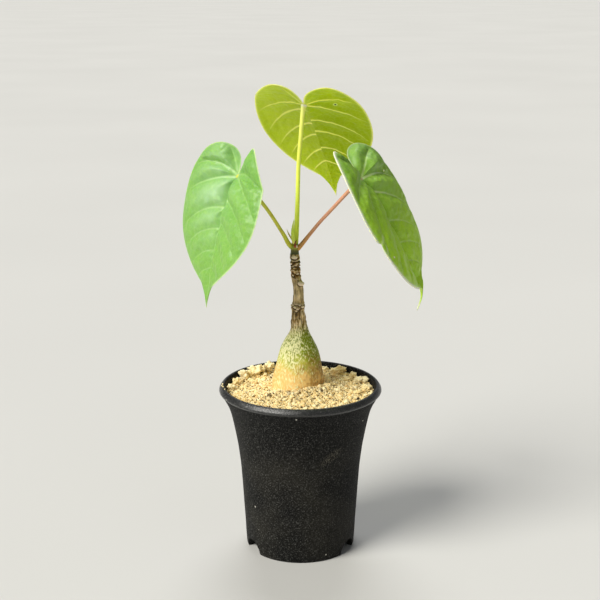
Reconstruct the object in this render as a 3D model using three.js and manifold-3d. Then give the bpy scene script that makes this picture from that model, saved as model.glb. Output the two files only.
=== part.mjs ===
// Potted shaving brush tree: a small caudex plant with three heart-shaped leaves in a flared
// black plastic pot filled with pale granules. Millimetres, +Z up, seen from the front along +Y.

import * as THREE from 'three';
import { mergeVertices } from 'three/addons/utils/BufferGeometryUtils.js';
import Module from 'manifold-3d';

const wasm = await Module();
wasm.setup();

// Driving dimensions

const BOX_CENTRE = [1.1, 5.7];      // middle of the object's box, measured from the pot's axis

const SIDES = 48;                   // facets around the pot and the potting mix
const POT_HEIGHT = 94;
// outer wall: height, radius
const POT_WALL = [[0, 30.3], [6, 30.8], [14, 31.15], [24, 31.8], [36, 32.5], [48, 33.35],
  [60, 34.85], [70, 36.7], [78, 38.4], [83, 40.0], [86.5, 41.9], [89, 43.5]];
// rounded lip, from the wall over the top to the inner edge: radius, depth below the top
const LIP = [[44.7, 3.4], [45.0, 2.4], [45.0, 1.3], [44.5, 0.4], [43.4, 0], [42.2, 0.1],
  [41.5, 0.7], [41.2, 1.7]];
const LIP_END = LIP[LIP.length - 1];
const WALL_THICKNESS = 1.5;
const INNER_LEVELS = [10, 24, 36, 48, 60, 70, 78, 83, 87];
const FLOOR_UNDERSIDE = 8;
const FLOOR_THICKNESS = 2;
const FOOT_INNER_RADIUS = 27.2;
const FOOT_TAPER = 0.6;
const NOTCH_WIDTH = 14;             // three arched drain notches in the foot
const NOTCH_HEIGHT = 7;
const NOTCH_ANGLES = [-90 + 61, -90 - 61, 90];
const NOTCH_CUT = [22, 36];         // radii that the cut runs between
const DRAIN_HOLE_RADIUS = 3;
const DRAIN_HOLE_CIRCLE = 17;
const DRAIN_HOLES = 6;

const GAP = 0.3;                    // between neighbouring pieces
const MIX_LEVEL = 90.2;             // surface of the potting mix at the wall
const MIX_MOUND = 4.4;              // how much higher it lies on one side of the plant
const MIX_MOUND_TOWARDS = -50;      // degrees: the side it is heaped on
const MIX_MOUND_SPREAD = 110;
const MIX_EDGE_DROP = 0.3;
const MIX_RINGS = 9;
const GRAIN_RELIEF = 0.9;
const PIT_LEVELS = [38, 43, 50, 58, 66, 74, 81, 87];    // the plain hole that the root stands in
const PIT_GAP = 0.4;
// larger lumps: x, y, z, radius
const LUMPS = [[-31.8, 18.6, 93.2, 2.5], [-25.4, 25.6, 93.0, 3.2], [-21.8, 28.8, 92.8, 2.2],
  [-17.8, 32.0, 93.6, 2.3], [-28.6, 23.2, 91.4, 1.8], [-36.2, 8.6, 92.4, 1.8],
  [-38.4, 0.2, 91.8, 1.4], [-20.4, 24.0, 90.8, 1.6], [23.4, 28.2, 92.2, 2.5],
  [19.2, 32.2, 91.0, 1.6], [29.8, 21.2, 91.5, 2.2], [33.8, 13.1, 91.6, 2.5],
  [37.6, 1.0, 91.0, 1.8], [27.0, 15.0, 90.9, 1.8], [14.6, 34.6, 91.0, 1.5],
  [-14.0, 34.6, 91.6, 1.6], [31.6, -6.4, 90.8, 1.3], [-26.8, -12.0, 90.8, 1.2],
  [8.6, -25.4, 91.0, 1.2], [-9.6, 34.4, 90.6, 1.2]];

const STEM_Y = 3.5;                 // the plant stands a little behind the pot's axis
const STEM_FACETS = 20;
// swollen base and woody stem: height, x of the middle, radius
const STEM = [[38, -2.6, 0.9], [43, -2.4, 2.2], [50, -2.1, 4.0], [58, -1.9, 6.3], [66, -1.7, 8.8],
  [74, -1.5, 11.4], [81, -1.3, 13.3], [87, -1.2, 14.1], [92, -1.2, 14.3], [95.6, -1.1, 14.1],
  [98.8, -1.0, 13.6], [102.3, -0.9, 12.8], [106.4, -0.8, 11.9], [110.4, -0.7, 10.9],
  [114.5, -0.8, 9.6], [118.5, -0.8, 7.7], [121.7, -0.6, 5.7], [124.2, -0.6, 4.8],
  [126.8, -0.7, 4.3], [130.5, -0.9, 3.9], [133.6, -1.0, 3.5], [135.6, -1.0, 3.35],
  [136.9, -1.1, 3.85], [138.3, -1.1, 3.7], [139.6, -1.0, 2.95], [141.5, -1.0, 2.65],
  [145.0, -1.2, 2.5], [148.6, -1.5, 2.45], [150.6, -1.7, 2.6], [152.4, -2.1, 2.55],
  [155.0, -2.7, 2.5], [158.5, -2.8, 2.6], [160.8, -2.8, 2.5], [161.8, -2.8, 2.7],
  [162.8, -2.8, 2.45], [164.6, -3.0, 2.5], [166.2, -3.1, 2.4]];
const EXTRA_LEVELS = [149.8, 151.6, 165.4];
const ROOT_END = 37.2;
const STEM_AT_MIX = STEM[8];        // its row at the surface of the potting mix
// knobs and old scars on it: height, azimuth in degrees, how far it stands out, half height
const STEM_BUMPS = [[150.9, -38, 1.7, 1.3], [165.2, -96, 0.35, 1.0], [137.4, -150, 0.6, 1.2],
  [138.2, -40, 0.45, 1.0], [129.0, 160, 0.5, 2.2], [143.6, -120, 0.35, 1.4],
  [157.2, -60, 0.3, 1.2], [146.8, 120, 0.5, 1.6], [112.0, -20, 0.35, 7.0], [101.0, -160, 0.3, 6.0]];

// green stem tip: height, radius
const TIP = [[166.5, 2.35], [168.6, 2.2], [170.4, 2.35], [171.6, 2.2], [172.1, 1.7], [172.4, 0.9]];
const TIP_X = -3.1;
const TIP_FACETS = 16;
const SPIKE_FACETS = 6;
// slim bud and stipule at its top: start, end, radius
const BUD = [[-4.7, 2.2, 170.6], [-4.3, 2.0, 185.6], 0.75];
const STIPULE = [[-4.9, 4.4, 171.0], [-7.0, 5.0, 179.0], 0.45];

// Petioles: points along the middle and the radius at each
const PETIOLE_FACETS = 10;
const PETIOLE_STEPS = 18;
const PETIOLES = {
  left: [[-6.5, 1.4, 172.9, 1.35], [-8.6, -0.6, 177.4, 1.1], [-10.9, -2.4, 181.6, 1.0],
    [-16.0, -6.2, 190.6, 0.98], [-21.6, -9.8, 199.0, 0.98], [-26.4, -12.8, 205.6, 1.0],
    [-30.9, -15.9, 211.0, 1.15]],
  middle: [[-2.7, 4.3, 173.7, 1.75], [-2.1, 5.3, 179.2, 1.4], [-1.5, 8.0, 195.2, 1.2],
    [-1.0, 11.4, 213.7, 1.12], [0.1, 14.4, 227.4, 1.1], [1.0, 16.6, 238.4, 1.15],
    [1.6, 17.6, 243.2, 1.3]],
  right: [[0.0, 2.3, 171.2, 1.3], [2.9, -0.1, 175.4, 1.1], [5.4, -2.0, 179.0, 1.0],
    [10.6, -5.8, 186.2, 0.95], [17.4, -10.4, 194.6, 0.95], [24.4, -14.6, 203.2, 1.0],
    [30.0, -18.1, 209.6, 1.15]],
};

// Heart-shaped blade, flat, for a midrib of length 1: half outline as four cubic curves from the
// notch at the petiole, round the lobe and the widest point, to the neck and the drip tip
const OUTLINE = [
  [[0, -0.03], [0.012, -0.08], [0.02, -0.22], [0.17, -0.22]],
  [[0.17, -0.22], [0.315, -0.22], [0.445, 0.09], [0.445, 0.29]],
  [[0.445, 0.29], [0.445, 0.71], [0.107, 0.78], [0.086, 0.843]],
  [[0.086, 0.843], [0.072, 0.883], [0.006, 0.93], [0, 1]],
];
// side veins: where each ends on the outline (curve number and fraction), start on the midrib
const SIDE_VEINS = [[1.38, 0], [1.75, 0], [2.02, 0], [2.18, 0.11], [2.36, 0.25], [2.54, 0.38],
  [2.74, 0.54], [2.9, 0.67]];
const NECK_START = 0.75;            // the midrib's share behind the neck of the drip tip
// other lines across the half blade, between the veins
const PLAIN_RAYS = [0, 0.35, 0.6, 0.8, 1.0, 1.18, 1.57, 1.88, 2.1, 2.27, 2.45, 2.64, 2.82, 3.0,
  3.3, 3.6, 4];
const VEIN_ARCH = 0.08;             // how much a side vein arches, as a share of its length
const BLADE_THICKNESS = 0.7;
const MIDRIB_HEIGHT = 0.9;          // ribs stand out below the blade
const VEIN_HEIGHT = 0.35;
const QUILTING = 0.35;              // the blade swells up between its side veins
const BLADE_STEPS = [0, 0.06, 0.22, 0.41, 0.6, 0.8, 1];

// Each leaf: where the blade starts, the direction of its tip (azimuth, dip below level, roll), its
// midrib length, and how it bends (degrees over the midrib's length, or per 30 mm of half width)
const LEAVES = {
  left: { at: [-32.2, -16.7, 212.5], azimuth: 192, dip: 65.5, roll: -15, length: 71.5,
    width: 1.02, droop: 18, lobeBend: -21, lobeSkew: -88, lobeFold: [109, 49],
    sweep: -10, twist: -15, fold: [9, 36], foldChange: -10, curl: [29, 20], tipShift: 3.3 },
  middle: { at: [2.1, 18.3, 245.0], azimuth: 76.5, dip: 28.5, roll: 0, length: 75.3,
    width: 1.0, droop: 43.5, lobeBend: -32, lobeSkew: 13, lobeFold: [-14, 14],
    sweep: 13, twist: -7, fold: [23, 9], foldChange: -12, curl: [22, 9], tipShift: -0.4 },
  right: { at: [31.2, -18.9, 210.8], azimuth: 346, dip: 54, roll: 30, length: 77.7,
    width: 0.98, droop: 33.5, lobeBend: 136, lobeSkew: -72, lobeFold: [47, 19],
    sweep: -10, twist: 8, fold: [8, 46], foldChange: -1, curl: [41, 36], tipShift: 5.4 },
};
const SKEW_WIDTH = 4;               // the lobes' bend changes sides within this distance
const CURL_WIDTH = 30;
const TIP_SHIFT_FROM = 0.8;

// Materials

const material = (color, roughness) => new THREE.MeshStandardMaterial({ color, roughness,
  metalness: 0 });
const potPlastic = material('#2b2b2a', 0.6);
const pumice = material('#e3c188', 0.95);
const bark = material('#b39a5e', 0.8);
const greenStem = material('#a3b02e', 0.55);
const yellowPetiole = material('#b2bf3a', 0.5);
const palePetiole = material('#c9dc55', 0.5);
const salmonPetiole = material('#d99b78', 0.5);
const paleBlade = material('#93cc6c', 0.5);
const underBlade = material('#a0bb2c', 0.55);
const darkBlade = material('#5f9a3c', 0.5);

// Helpers

const rad = THREE.MathUtils.degToRad;

function makeRandom(seed) {
  let state = seed;
  return () => {
    state = (state * 1664525 + 1013904223) % 4294967296;
    return state / 4294967296;
  };
}

function table(rows, x, column) {
  if (x <= rows[0][0]) return rows[0][column];
  for (let i = 1; i < rows.length; i += 1) {
    if (x <= rows[i][0]) {
      const t = (x - rows[i - 1][0]) / (rows[i][0] - rows[i - 1][0]);
      return rows[i - 1][column] + t * (rows[i][column] - rows[i - 1][column]);
    }
  }
  return rows[rows.length - 1][column];
}

function geometryOf(points, triangles) {
  const geometry = new THREE.BufferGeometry();
  geometry.setAttribute('position', new THREE.Float32BufferAttribute(points.flat(), 3));
  geometry.setIndex(triangles.flat());
  geometry.computeVertexNormals();
  return geometry;
}

// A closed body through rings of points; a ring of one point closes an end
function loft(rings) {
  const points = [];
  const triangles = [];
  const starts = rings.map((ring) => {
    points.push(...ring);
    return points.length - ring.length;
  });
  for (let r = 0; r + 1 < rings.length; r += 1) {
    const [a, b] = [starts[r], starts[r + 1]];
    const [na, nb] = [rings[r].length, rings[r + 1].length];
    const n = Math.max(na, nb);
    for (let i = 0; i < n; i += 1) {
      const j = (i + 1) % n;
      if (na > 1) triangles.push([a + i, a + j, b + (nb > 1 ? j : 0)]);
      if (nb > 1) triangles.push([a + (na > 1 ? i : 0), b + j, b + i]);
    }
  }
  return geometryOf(points, triangles);
}

function ring(z, radius, x = 0, y = 0, sides = SIDES) {
  return Array.from({ length: sides }, (_, i) => {
    const angle = (i / sides) * 2 * Math.PI;
    return [x + radius * Math.cos(angle), y + radius * Math.sin(angle), z];
  });
}

function solid(geometry) {
  const bare = geometry.clone();
  bare.deleteAttribute('normal');
  bare.deleteAttribute('uv');
  const merged = mergeVertices(bare, 1e-5);
  return new wasm.Manifold(new wasm.Mesh({ numProp: 3,
    vertProperties: new Float32Array(merged.attributes.position.array),
    triVerts: new Uint32Array(merged.index.array) }));
}

function geometryFrom(manifold) {
  const mesh = manifold.getMesh();
  const geometry = new THREE.BufferGeometry();
  geometry.setAttribute('position', new THREE.BufferAttribute(
    new Float32Array(mesh.vertProperties), 3));
  geometry.setIndex(new THREE.BufferAttribute(new Uint32Array(mesh.triVerts), 1));
  geometry.computeVertexNormals();
  return geometry;
}

// Pot

function wallRadius(z) {
  return table(POT_WALL, z, 1);
}

const INNER_WALL = [...INNER_LEVELS.map((z) => [z, wallRadius(z) - WALL_THICKNESS]),
  [POT_HEIGHT - LIP_END[1], LIP_END[0]]];

function innerRadius(z) {
  return table(INNER_WALL, z, 1);
}

function potProfile() {
  const outer = POT_WALL.map(([z, r]) => [r, z]);
  const lip = LIP.map(([r, depth]) => [r, POT_HEIGHT - depth]);
  const floorTop = FLOOR_UNDERSIDE + FLOOR_THICKNESS;
  const inner = [...INNER_LEVELS].reverse().map((z) => [innerRadius(z), z]);
  const below = [[0, floorTop], [0, FLOOR_UNDERSIDE],
    [FOOT_INNER_RADIUS + FOOT_TAPER, FLOOR_UNDERSIDE], [FOOT_INNER_RADIUS, 0]];
  return [...outer, ...lip, ...inner, ...below, outer[0]];
}

function makePot() {
  const profile = potProfile().map(([r, z]) => new THREE.Vector2(r, z));
  const shell = new THREE.LatheGeometry(profile, SIDES);
  shell.rotateX(Math.PI / 2);                      // the lathe turns about Y; stand it up on Z
  let body = solid(shell);

  const arch = new THREE.Shape();
  arch.moveTo(-NOTCH_WIDTH / 2, -1);
  arch.lineTo(NOTCH_WIDTH / 2, -1);
  for (let i = 0; i <= 8; i += 1) {
    const a = (i / 8) * Math.PI;
    arch.lineTo((NOTCH_WIDTH / 2) * Math.cos(a), NOTCH_HEIGHT * Math.sin(a));
  }
  for (const angle of NOTCH_ANGLES) {
    const cutter = new THREE.ExtrudeGeometry(arch, { depth: NOTCH_CUT[1] - NOTCH_CUT[0],
      bevelEnabled: false, steps: 1 });
    cutter.rotateX(Math.PI / 2);                   // arch upright, cut running along -Y
    cutter.translate(0, NOTCH_CUT[1], 0);
    cutter.rotateZ(rad(angle - 90));
    body = body.subtract(solid(cutter));
  }
  for (let i = 0; i <= DRAIN_HOLES; i += 1) {
    const hole = new THREE.CylinderGeometry(DRAIN_HOLE_RADIUS, DRAIN_HOLE_RADIUS, 8, 12);
    hole.rotateX(Math.PI / 2);
    const a = (i / DRAIN_HOLES) * 2 * Math.PI;
    const r = i === DRAIN_HOLES ? 0 : DRAIN_HOLE_CIRCLE;
    hole.translate(r * Math.cos(a), r * Math.sin(a), FLOOR_UNDERSIDE + 1);
    body = body.subtract(solid(hole));
  }
  return geometryFrom(body);
}

// Swollen base and woody stem

function stemRadius(z, angle) {
  let r = table(STEM, z, 2);
  const ripple = Math.min(1, Math.max(0, (z - 96) / 20));
  r += 0.09 * ripple * Math.sin(3 * angle + z * 0.21) + 0.012 * r * Math.sin(2 * angle + 0.7);
  for (const [height, azimuth, out, half] of STEM_BUMPS) {
    const dz = (z - height) / half;
    let da = angle - rad(azimuth);
    da = Math.atan2(Math.sin(da), Math.cos(da)) * table(STEM, height, 2) / (half * 0.9);
    r += out * Math.exp(-(dz * dz) - da * da);
  }
  return r;
}

function stemRing(z, sides, clearance) {
  const x = table(STEM, z, 1);
  return Array.from({ length: sides }, (_, i) => {
    const angle = (i / sides) * 2 * Math.PI;
    const r = stemRadius(z, angle) + clearance;
    return [x + r * Math.cos(angle), STEM_Y + r * Math.sin(angle), z];
  });
}

function makeStem() {
  const levels = [...STEM.map((row) => row[0]), ...EXTRA_LEVELS].sort((a, b) => a - b);
  const last = levels[levels.length - 1];
  return loft([[[STEM[0][1], STEM_Y, ROOT_END]],
    ...levels.map((z) => stemRing(z, STEM_FACETS, 0)),
    [[table(STEM, last, 1), STEM_Y, last]]]);
}

// Potting mix

// height of the mix: a mound against one side of the plant, heaped up under each lump
function mixHeight(x, y) {
  const fromPlant = Math.hypot(x - STEM_AT_MIX[1], y - STEM_Y) - STEM_AT_MIX[2];
  const angle = Math.atan2(y - STEM_Y, x - STEM_AT_MIX[1]);
  const side = 0.5 + 0.5 * Math.cos(angle - (MIX_MOUND_TOWARDS * Math.PI) / 180);
  let heap = 0;
  for (const [lx, ly, lz, r] of LUMPS) {
    const d = Math.hypot(x - lx, y - ly) / (1.2 * r);
    heap = Math.max(heap, (lz - 0.35 * r - MIX_LEVEL) * Math.exp(-d * d));
  }
  return MIX_LEVEL + MIX_MOUND * side * Math.exp(-(fromPlant ** 2) / MIX_MOUND_SPREAD) + heap;
}

function makeMix() {
  const random = makeRandom(11);
  const bottom = FLOOR_UNDERSIDE + FLOOR_THICKNESS + GAP;
  const rings = [[[STEM[0][1], STEM_Y, ROOT_END - PIT_GAP]],
    ...PIT_LEVELS.map((z) => stemRing(z, SIDES, PIT_GAP))];
  const inside = stemRing(MIX_LEVEL, SIDES, PIT_GAP);
  const outer = innerRadius(MIX_LEVEL) - GAP;
  for (let s = 0; s <= MIX_RINGS; s += 1) {
    const t = s / MIX_RINGS;
    rings.push(inside.map(([x, y], i) => {
      const angle = (i / SIDES) * 2 * Math.PI;
      const px = x + t * (outer * Math.cos(angle) - x);
      const py = y + t * (outer * Math.sin(angle) - y);
      const grain = GRAIN_RELIEF * (random() - 0.5) * (s === 0 ? 0.4 : 1);
      return [px, py, mixHeight(px, py) + (s === MIX_RINGS ? -MIX_EDGE_DROP : grain)];
    }));
  }
  for (const z of [...INNER_LEVELS.slice(1).reverse(), bottom]) {
    rings.push(ring(z, innerRadius(z) - GAP));
  }
  rings.push([[0, 0, bottom]]);
  let body = solid(loft(rings.reverse()));
  for (const [x, y, z, r] of LUMPS) {
    const lump = new THREE.IcosahedronGeometry(r, r > 1.7 ? 1 : 0);
    lump.deleteAttribute('normal');
    lump.deleteAttribute('uv');
    const merged = mergeVertices(lump, 1e-4);
    const p = merged.attributes.position;
    const squash = 0.85 + 0.2 * random();
    for (let i = 0; i < p.count; i += 1) {
      const f = 0.82 + 0.36 * random();
      p.setXYZ(i, x + p.getX(i) * f, y + p.getY(i) * f, z + p.getZ(i) * f * squash);
    }
    body = body.add(solid(merged));
  }
  return geometryFrom(body);
}

// Green stem tip with its bud and stipule

function spike(from, to, radius) {
  const a = new THREE.Vector3(...from);
  const b = new THREE.Vector3(...to);
  const along = b.clone().sub(a).normalize();
  const side = new THREE.Vector3(0, 1, 0).cross(along).normalize();
  const up = along.clone().cross(side);
  const rings = [[a.toArray()]];
  for (const [t, f] of [[0.02, 0.7], [0.3, 1], [0.7, 0.75], [0.97, 0.35]]) {
    const c = a.clone().lerp(b, t);
    rings.push(Array.from({ length: SPIKE_FACETS }, (_, i) => {
      const w = (i / SPIKE_FACETS) * 2 * Math.PI;
      return c.clone().addScaledVector(side, radius * f * Math.cos(w))
        .addScaledVector(up, radius * f * Math.sin(w)).toArray();
    }));
  }
  rings.push([b.toArray()]);
  return loft(rings);
}

function makeStemTip() {
  const rings = TIP.map(([z, r]) => ring(z, r, TIP_X, STEM_Y, TIP_FACETS));
  const [low, high] = [TIP[0][0], TIP[TIP.length - 1][0]];
  const body = solid(loft([[[TIP_X, STEM_Y, low]], ...rings, [[TIP_X, STEM_Y, high + 0.1]]]));
  return geometryFrom(body.add(solid(spike(...BUD))).add(solid(spike(...STIPULE))));
}

// Petioles

function makePetiole(rows) {
  const curve = new THREE.CatmullRomCurve3(rows.map((row) => new THREE.Vector3(...row)), false,
    'centripetal');
  const frames = curve.computeFrenetFrames(PETIOLE_STEPS, false);
  const lengths = rows.map((_, i) => i / (rows.length - 1));
  const rings = [];
  for (let s = 0; s <= PETIOLE_STEPS; s += 1) {
    const at = s / PETIOLE_STEPS;
    const p = curve.getPointAt(at);
    const t = curve.getUtoTmapping(at);
    const r = table(lengths.map((l, i) => [l, rows[i][3]]), t, 1);
    rings.push(Array.from({ length: PETIOLE_FACETS }, (_, i) => {
      const a = (i / PETIOLE_FACETS) * 2 * Math.PI;
      return p.clone().addScaledVector(frames.normals[s], r * Math.cos(a))
        .addScaledVector(frames.binormals[s], r * Math.sin(a)).toArray();
    }));
  }
  return loft([[curve.getPointAt(0).toArray()], ...rings, [curve.getPointAt(1).toArray()]]);
}

// Leaf blades. Flat coordinates: u to the leaf's right seen from above, v along the midrib

function outlinePoint(g) {
  const part = Math.min(3, Math.floor(g));
  const t = g - part;
  const weights = [(1 - t) ** 3, 3 * (1 - t) ** 2 * t, 3 * (1 - t) * t * t, t ** 3];
  return [0, 1].map((k) => weights.reduce((sum, w, i) => sum + w * OUTLINE[part][i][k], 0));
}

function midribStart(g) {
  return table([...SIDE_VEINS, [3, NECK_START], [4, 1]], g, 1);
}

// a place on the line from the midrib to outline point g, at share t of its length
function flatPoint(g, t, side, leaf) {
  const [endU, endV] = outlinePoint(g);
  const start = midribStart(g);
  const arch = VEIN_ARCH * 4 * t * (1 - t) * Math.min(1, endU / 0.2);
  const u = Math.max(0, endU * t + 0.5 * arch * (endV - start));
  const v = start + (endV - start) * t - arch * endU;
  return [side * u * leaf.length * leaf.width, v * leaf.length];
}

function bladePoint(u, v, side, leaf) {
  const L = leaf.length;
  const which = side > 0 ? 1 : 0;
  const ahead = Math.max(v, 0) / L;
  const behind = Math.max(-v, 0) / L;
  const lobe = rad(leaf.lobeBend + leaf.lobeSkew * (u / (Math.abs(u) + SKEW_WIDTH)));
  const droop = (v > 0 ? rad(leaf.droop) : lobe) * (v / L);
  const sweep = rad(leaf.sweep) * ahead;
  const twist = rad(leaf.twist) * (v / L);
  const arc = (a) => (Math.abs(a) < 1e-6 ? [1, a / 2] : [Math.sin(a) / a, (1 - Math.cos(a)) / a]);
  const [s1, c1] = arc(droop);
  const c2 = arc(sweep)[1];
  const middle = new THREE.Vector3(v * c2, v * s1, -v * c1);
  const ahead3 = new THREE.Vector3(0, Math.cos(droop), -Math.sin(droop));
  const normal = new THREE.Vector3(0, Math.sin(droop), Math.cos(droop));
  const across = new THREE.Vector3(Math.cos(sweep), 0, 0).addScaledVector(ahead3,
    -Math.sin(sweep));
  const acrossTwisted = across.clone().multiplyScalar(Math.cos(twist))
    .addScaledVector(normal, Math.sin(twist));
  const normalTwisted = normal.clone().multiplyScalar(Math.cos(twist))
    .addScaledVector(across, -Math.sin(twist));
  const beyond = Math.max(v / L - TIP_SHIFT_FROM, 0) / (1 - TIP_SHIFT_FROM);
  const fold = rad(leaf.fold[which]) + rad(leaf.foldChange) * ahead
    + rad(leaf.lobeFold[which]) * behind;
  const k = rad(leaf.curl[which]) / CURL_WIDTH;
  const a = Math.abs(u);
  const out = (Math.sin(fold) - Math.sin(fold - k * a)) / k;
  const rise = (Math.cos(fold - k * a) - Math.cos(fold)) / k;
  return middle.addScaledVector(acrossTwisted, side * out + leaf.tipShift * beyond * beyond)
    .addScaledVector(normalTwisted, rise);
}

function bladeNormal(u, v, side, leaf) {
  const e = 0.05;
  const inner = Math.max(0, Math.abs(u) - e);
  const pu = bladePoint(side * (inner + 2 * e), v, side, leaf)
    .sub(bladePoint(side * inner, v, side, leaf)).multiplyScalar(side);
  const pv = bladePoint(side * Math.abs(u), v + e, side, leaf)
    .sub(bladePoint(side * Math.abs(u), v - e, side, leaf));
  return pu.cross(pv).normalize();
}

// A blade has an upper and a lower face over the same net of points, so both are split alike
function makeBlade(leaf) {
  const veins = SIDE_VEINS.map(([g]) => g);
  const rays = [...veins, ...PLAIN_RAYS].sort((a, b) => a - b);
  const lastRay = rays.length - 1;
  const lastStep = BLADE_STEPS.length - 1;
  const points = [];
  const indexOf = new Map();
  const triangles = [];

  const vertex = (side, ray, step, face) => {
    const g = rays[ray];
    const t = BLADE_STEPS[step];
    const onMidline = step === 0 || ray === 0 || ray === lastRay;
    const [flatU, v] = flatPoint(g, t, side, leaf);
    const u = onMidline ? 0 : flatU;
    const key = `${u.toFixed(4)},${v.toFixed(4)},${face}`;
    if (indexOf.has(key)) return indexOf.get(key);

    let normal = bladeNormal(u, v, side, leaf);
    let half = BLADE_THICKNESS / 2;
    if (onMidline) {
      const mean = normal.clone().add(bladeNormal(u, v, -side, leaf)).normalize();
      half /= Math.max(0.6, mean.dot(normal));
      normal = mean;
    }
    const isVein = veins.includes(g);
    const isFlat = onMidline || isVein || g < 0.9 || g > 3;
    const swell = isFlat ? 0 : QUILTING * Math.sin(Math.PI * t) ** 0.8;
    let rib = 0;
    if (step === 0) rib = MIDRIB_HEIGHT * (1 - 0.85 * Math.max(0, v / leaf.length));
    else if (isVein) rib = VEIN_HEIGHT * (1 - t ** 3);
    const p = bladePoint(u, v, side, leaf)
      .addScaledVector(normal, swell + (face > 0 ? half : -half - rib));
    indexOf.set(key, points.length);
    points.push(p.toArray());
    return points.length - 1;
  };

  const addTriangle = (a, b, c) => {
    if (a !== b && b !== c && a !== c) triangles.push([a, b, c]);
  };
  const addQuad = (a, b, c, d, flipped) => {
    if (flipped) {
      addTriangle(a, c, b);
      addTriangle(a, d, c);
    } else {
      addTriangle(a, b, c);
      addTriangle(a, c, d);
    }
  };
  for (const side of [1, -1]) {
    for (let ray = 0; ray < lastRay; ray += 1) {
      for (const face of [1, -1]) {
        for (let step = 0; step < lastStep; step += 1) {
          addQuad(vertex(side, ray, step, face), vertex(side, ray, step + 1, face),
            vertex(side, ray + 1, step + 1, face), vertex(side, ray + 1, step, face),
            side * face < 0);
        }
      }
      addQuad(vertex(side, ray, lastStep, 1), vertex(side, ray, lastStep, -1),
        vertex(side, ray + 1, lastStep, -1), vertex(side, ray + 1, lastStep, 1), side < 0);
    }
  }
  return geometryOf(points, triangles);
}

function leafPose(leaf) {
  const [az, dip] = [rad(leaf.azimuth), rad(leaf.dip)];
  const ahead = new THREE.Vector3(Math.cos(dip) * Math.cos(az), Math.cos(dip) * Math.sin(az),
    -Math.sin(dip));
  const up = new THREE.Vector3(Math.sin(dip) * Math.cos(az), Math.sin(dip) * Math.sin(az),
    Math.cos(dip));
  const right = ahead.clone().cross(up);
  const roll = new THREE.Matrix4().makeRotationAxis(ahead, rad(leaf.roll));
  up.applyMatrix4(roll);
  right.applyMatrix4(roll);
  return new THREE.Matrix4().makeBasis(right, ahead, up);
}

// Assembly

function named(name, geometry, look) {
  const mesh = new THREE.Mesh(geometry, look);
  mesh.name = name;
  return mesh;
}

const object = new THREE.Group();
const potted = new THREE.Group();
potted.position.set(-BOX_CENTRE[0], -BOX_CENTRE[1], 0);
object.add(potted);

potted.add(named('pot', makePot(), potPlastic));
potted.add(named('potting_mix', makeMix(), pumice));

const plant = new THREE.Group();
potted.add(plant);
plant.add(named('caudex_and_stem', makeStem(), bark));
plant.add(named('stem_tip', makeStemTip(), greenStem));
plant.add(named('petiole_left', makePetiole(PETIOLES.left), yellowPetiole));
plant.add(named('petiole_middle', makePetiole(PETIOLES.middle), palePetiole));
plant.add(named('petiole_right', makePetiole(PETIOLES.right), salmonPetiole));

for (const [name, look] of [['left', paleBlade], ['middle', underBlade], ['right', darkBlade]]) {
  const leaf = LEAVES[name];
  const holder = new THREE.Group();
  holder.applyMatrix4(leafPose(leaf));
  holder.position.set(...leaf.at);
  holder.add(named(`leaf_${name}`, makeBlade(leaf), look));
  plant.add(holder);
}

export default object;
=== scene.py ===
# Potted shaving brush tree: a small caudex plant with a swollen base, a thin woody stem and three
# heart-shaped drip-tip leaves, in a flared black plastic pot filled with pale pumice granules.
# Blender works in metres; every size and place below is in millimetres from the pot's axis.

import math

import bmesh
import bpy
import numpy as np
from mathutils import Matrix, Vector, noise


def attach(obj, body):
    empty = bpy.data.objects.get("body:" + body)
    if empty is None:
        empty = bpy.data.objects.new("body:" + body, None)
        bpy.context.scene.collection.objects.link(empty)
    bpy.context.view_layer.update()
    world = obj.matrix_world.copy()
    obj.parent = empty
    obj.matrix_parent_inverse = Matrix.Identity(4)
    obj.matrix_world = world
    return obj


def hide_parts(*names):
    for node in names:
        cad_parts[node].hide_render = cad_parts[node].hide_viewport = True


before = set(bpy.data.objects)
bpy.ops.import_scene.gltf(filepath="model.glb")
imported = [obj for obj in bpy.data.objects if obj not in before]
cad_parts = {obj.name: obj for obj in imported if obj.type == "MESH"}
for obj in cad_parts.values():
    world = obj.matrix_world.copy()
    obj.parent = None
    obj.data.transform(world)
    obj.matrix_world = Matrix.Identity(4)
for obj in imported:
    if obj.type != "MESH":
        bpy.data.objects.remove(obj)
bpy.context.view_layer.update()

MM = 0.001
POT_AXIS = np.array([-1.1, -5.7, 0.0])      # the pot's axis in the part's frame

# Pot
POT_HEIGHT = 94.0
# outer wall: height, radius
POT_WALL = [(0, 30.3), (6, 30.8), (14, 31.15), (24, 31.8), (36, 32.5), (48, 33.35), (60, 34.85),
            (70, 36.7), (78, 38.4), (83, 40.0), (86.5, 41.9), (89, 43.5)]
# where the wall turns out into the lip: radius, height
LIP_ROOT = [(43.3, 89.2), (43.7, 90.0)]
# rounded lip: radius, depth below the top
LIP = [(44.5, 3.6), (44.9, 3.0), (44.85, 2.4), (44.5, 1.7), (44.0, 1.0), (43.4, 0.35),
       (42.8, 0.05), (42.1, 0.15), (41.5, 0.7), (41.2, 1.7)]
WALL_THICKNESS = 1.5
INNER_LEVELS = [87, 83, 78, 70, 60, 48, 36, 24, 12]
FLOOR_UNDERSIDE = 8.0
FLOOR_THICKNESS = 2.0
# rounded corner between wall and floor: radius, height
FLOOR_FILLET = [(29.0, 10.4), (27.5, 10.0)]
FOOT_INNER_RADIUS = 27.2
FOOT_ROUNDING = 0.5
NOTCH_WIDTH = 14.0
NOTCH_HEIGHT = 7.0
NOTCH_ANGLES = (-90 + 61, -90 - 61, 90)
NOTCH_CUT = (22, 36)                        # from this radius to that
DRAIN_HOLE_RADIUS = 3.0
DRAIN_HOLE_CIRCLE = 17.0
DRAIN_HOLES = 6
DRAIN_HOLE_CUT = (5, 12)                    # from this height to that
POT_SEGMENTS = 240

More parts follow.
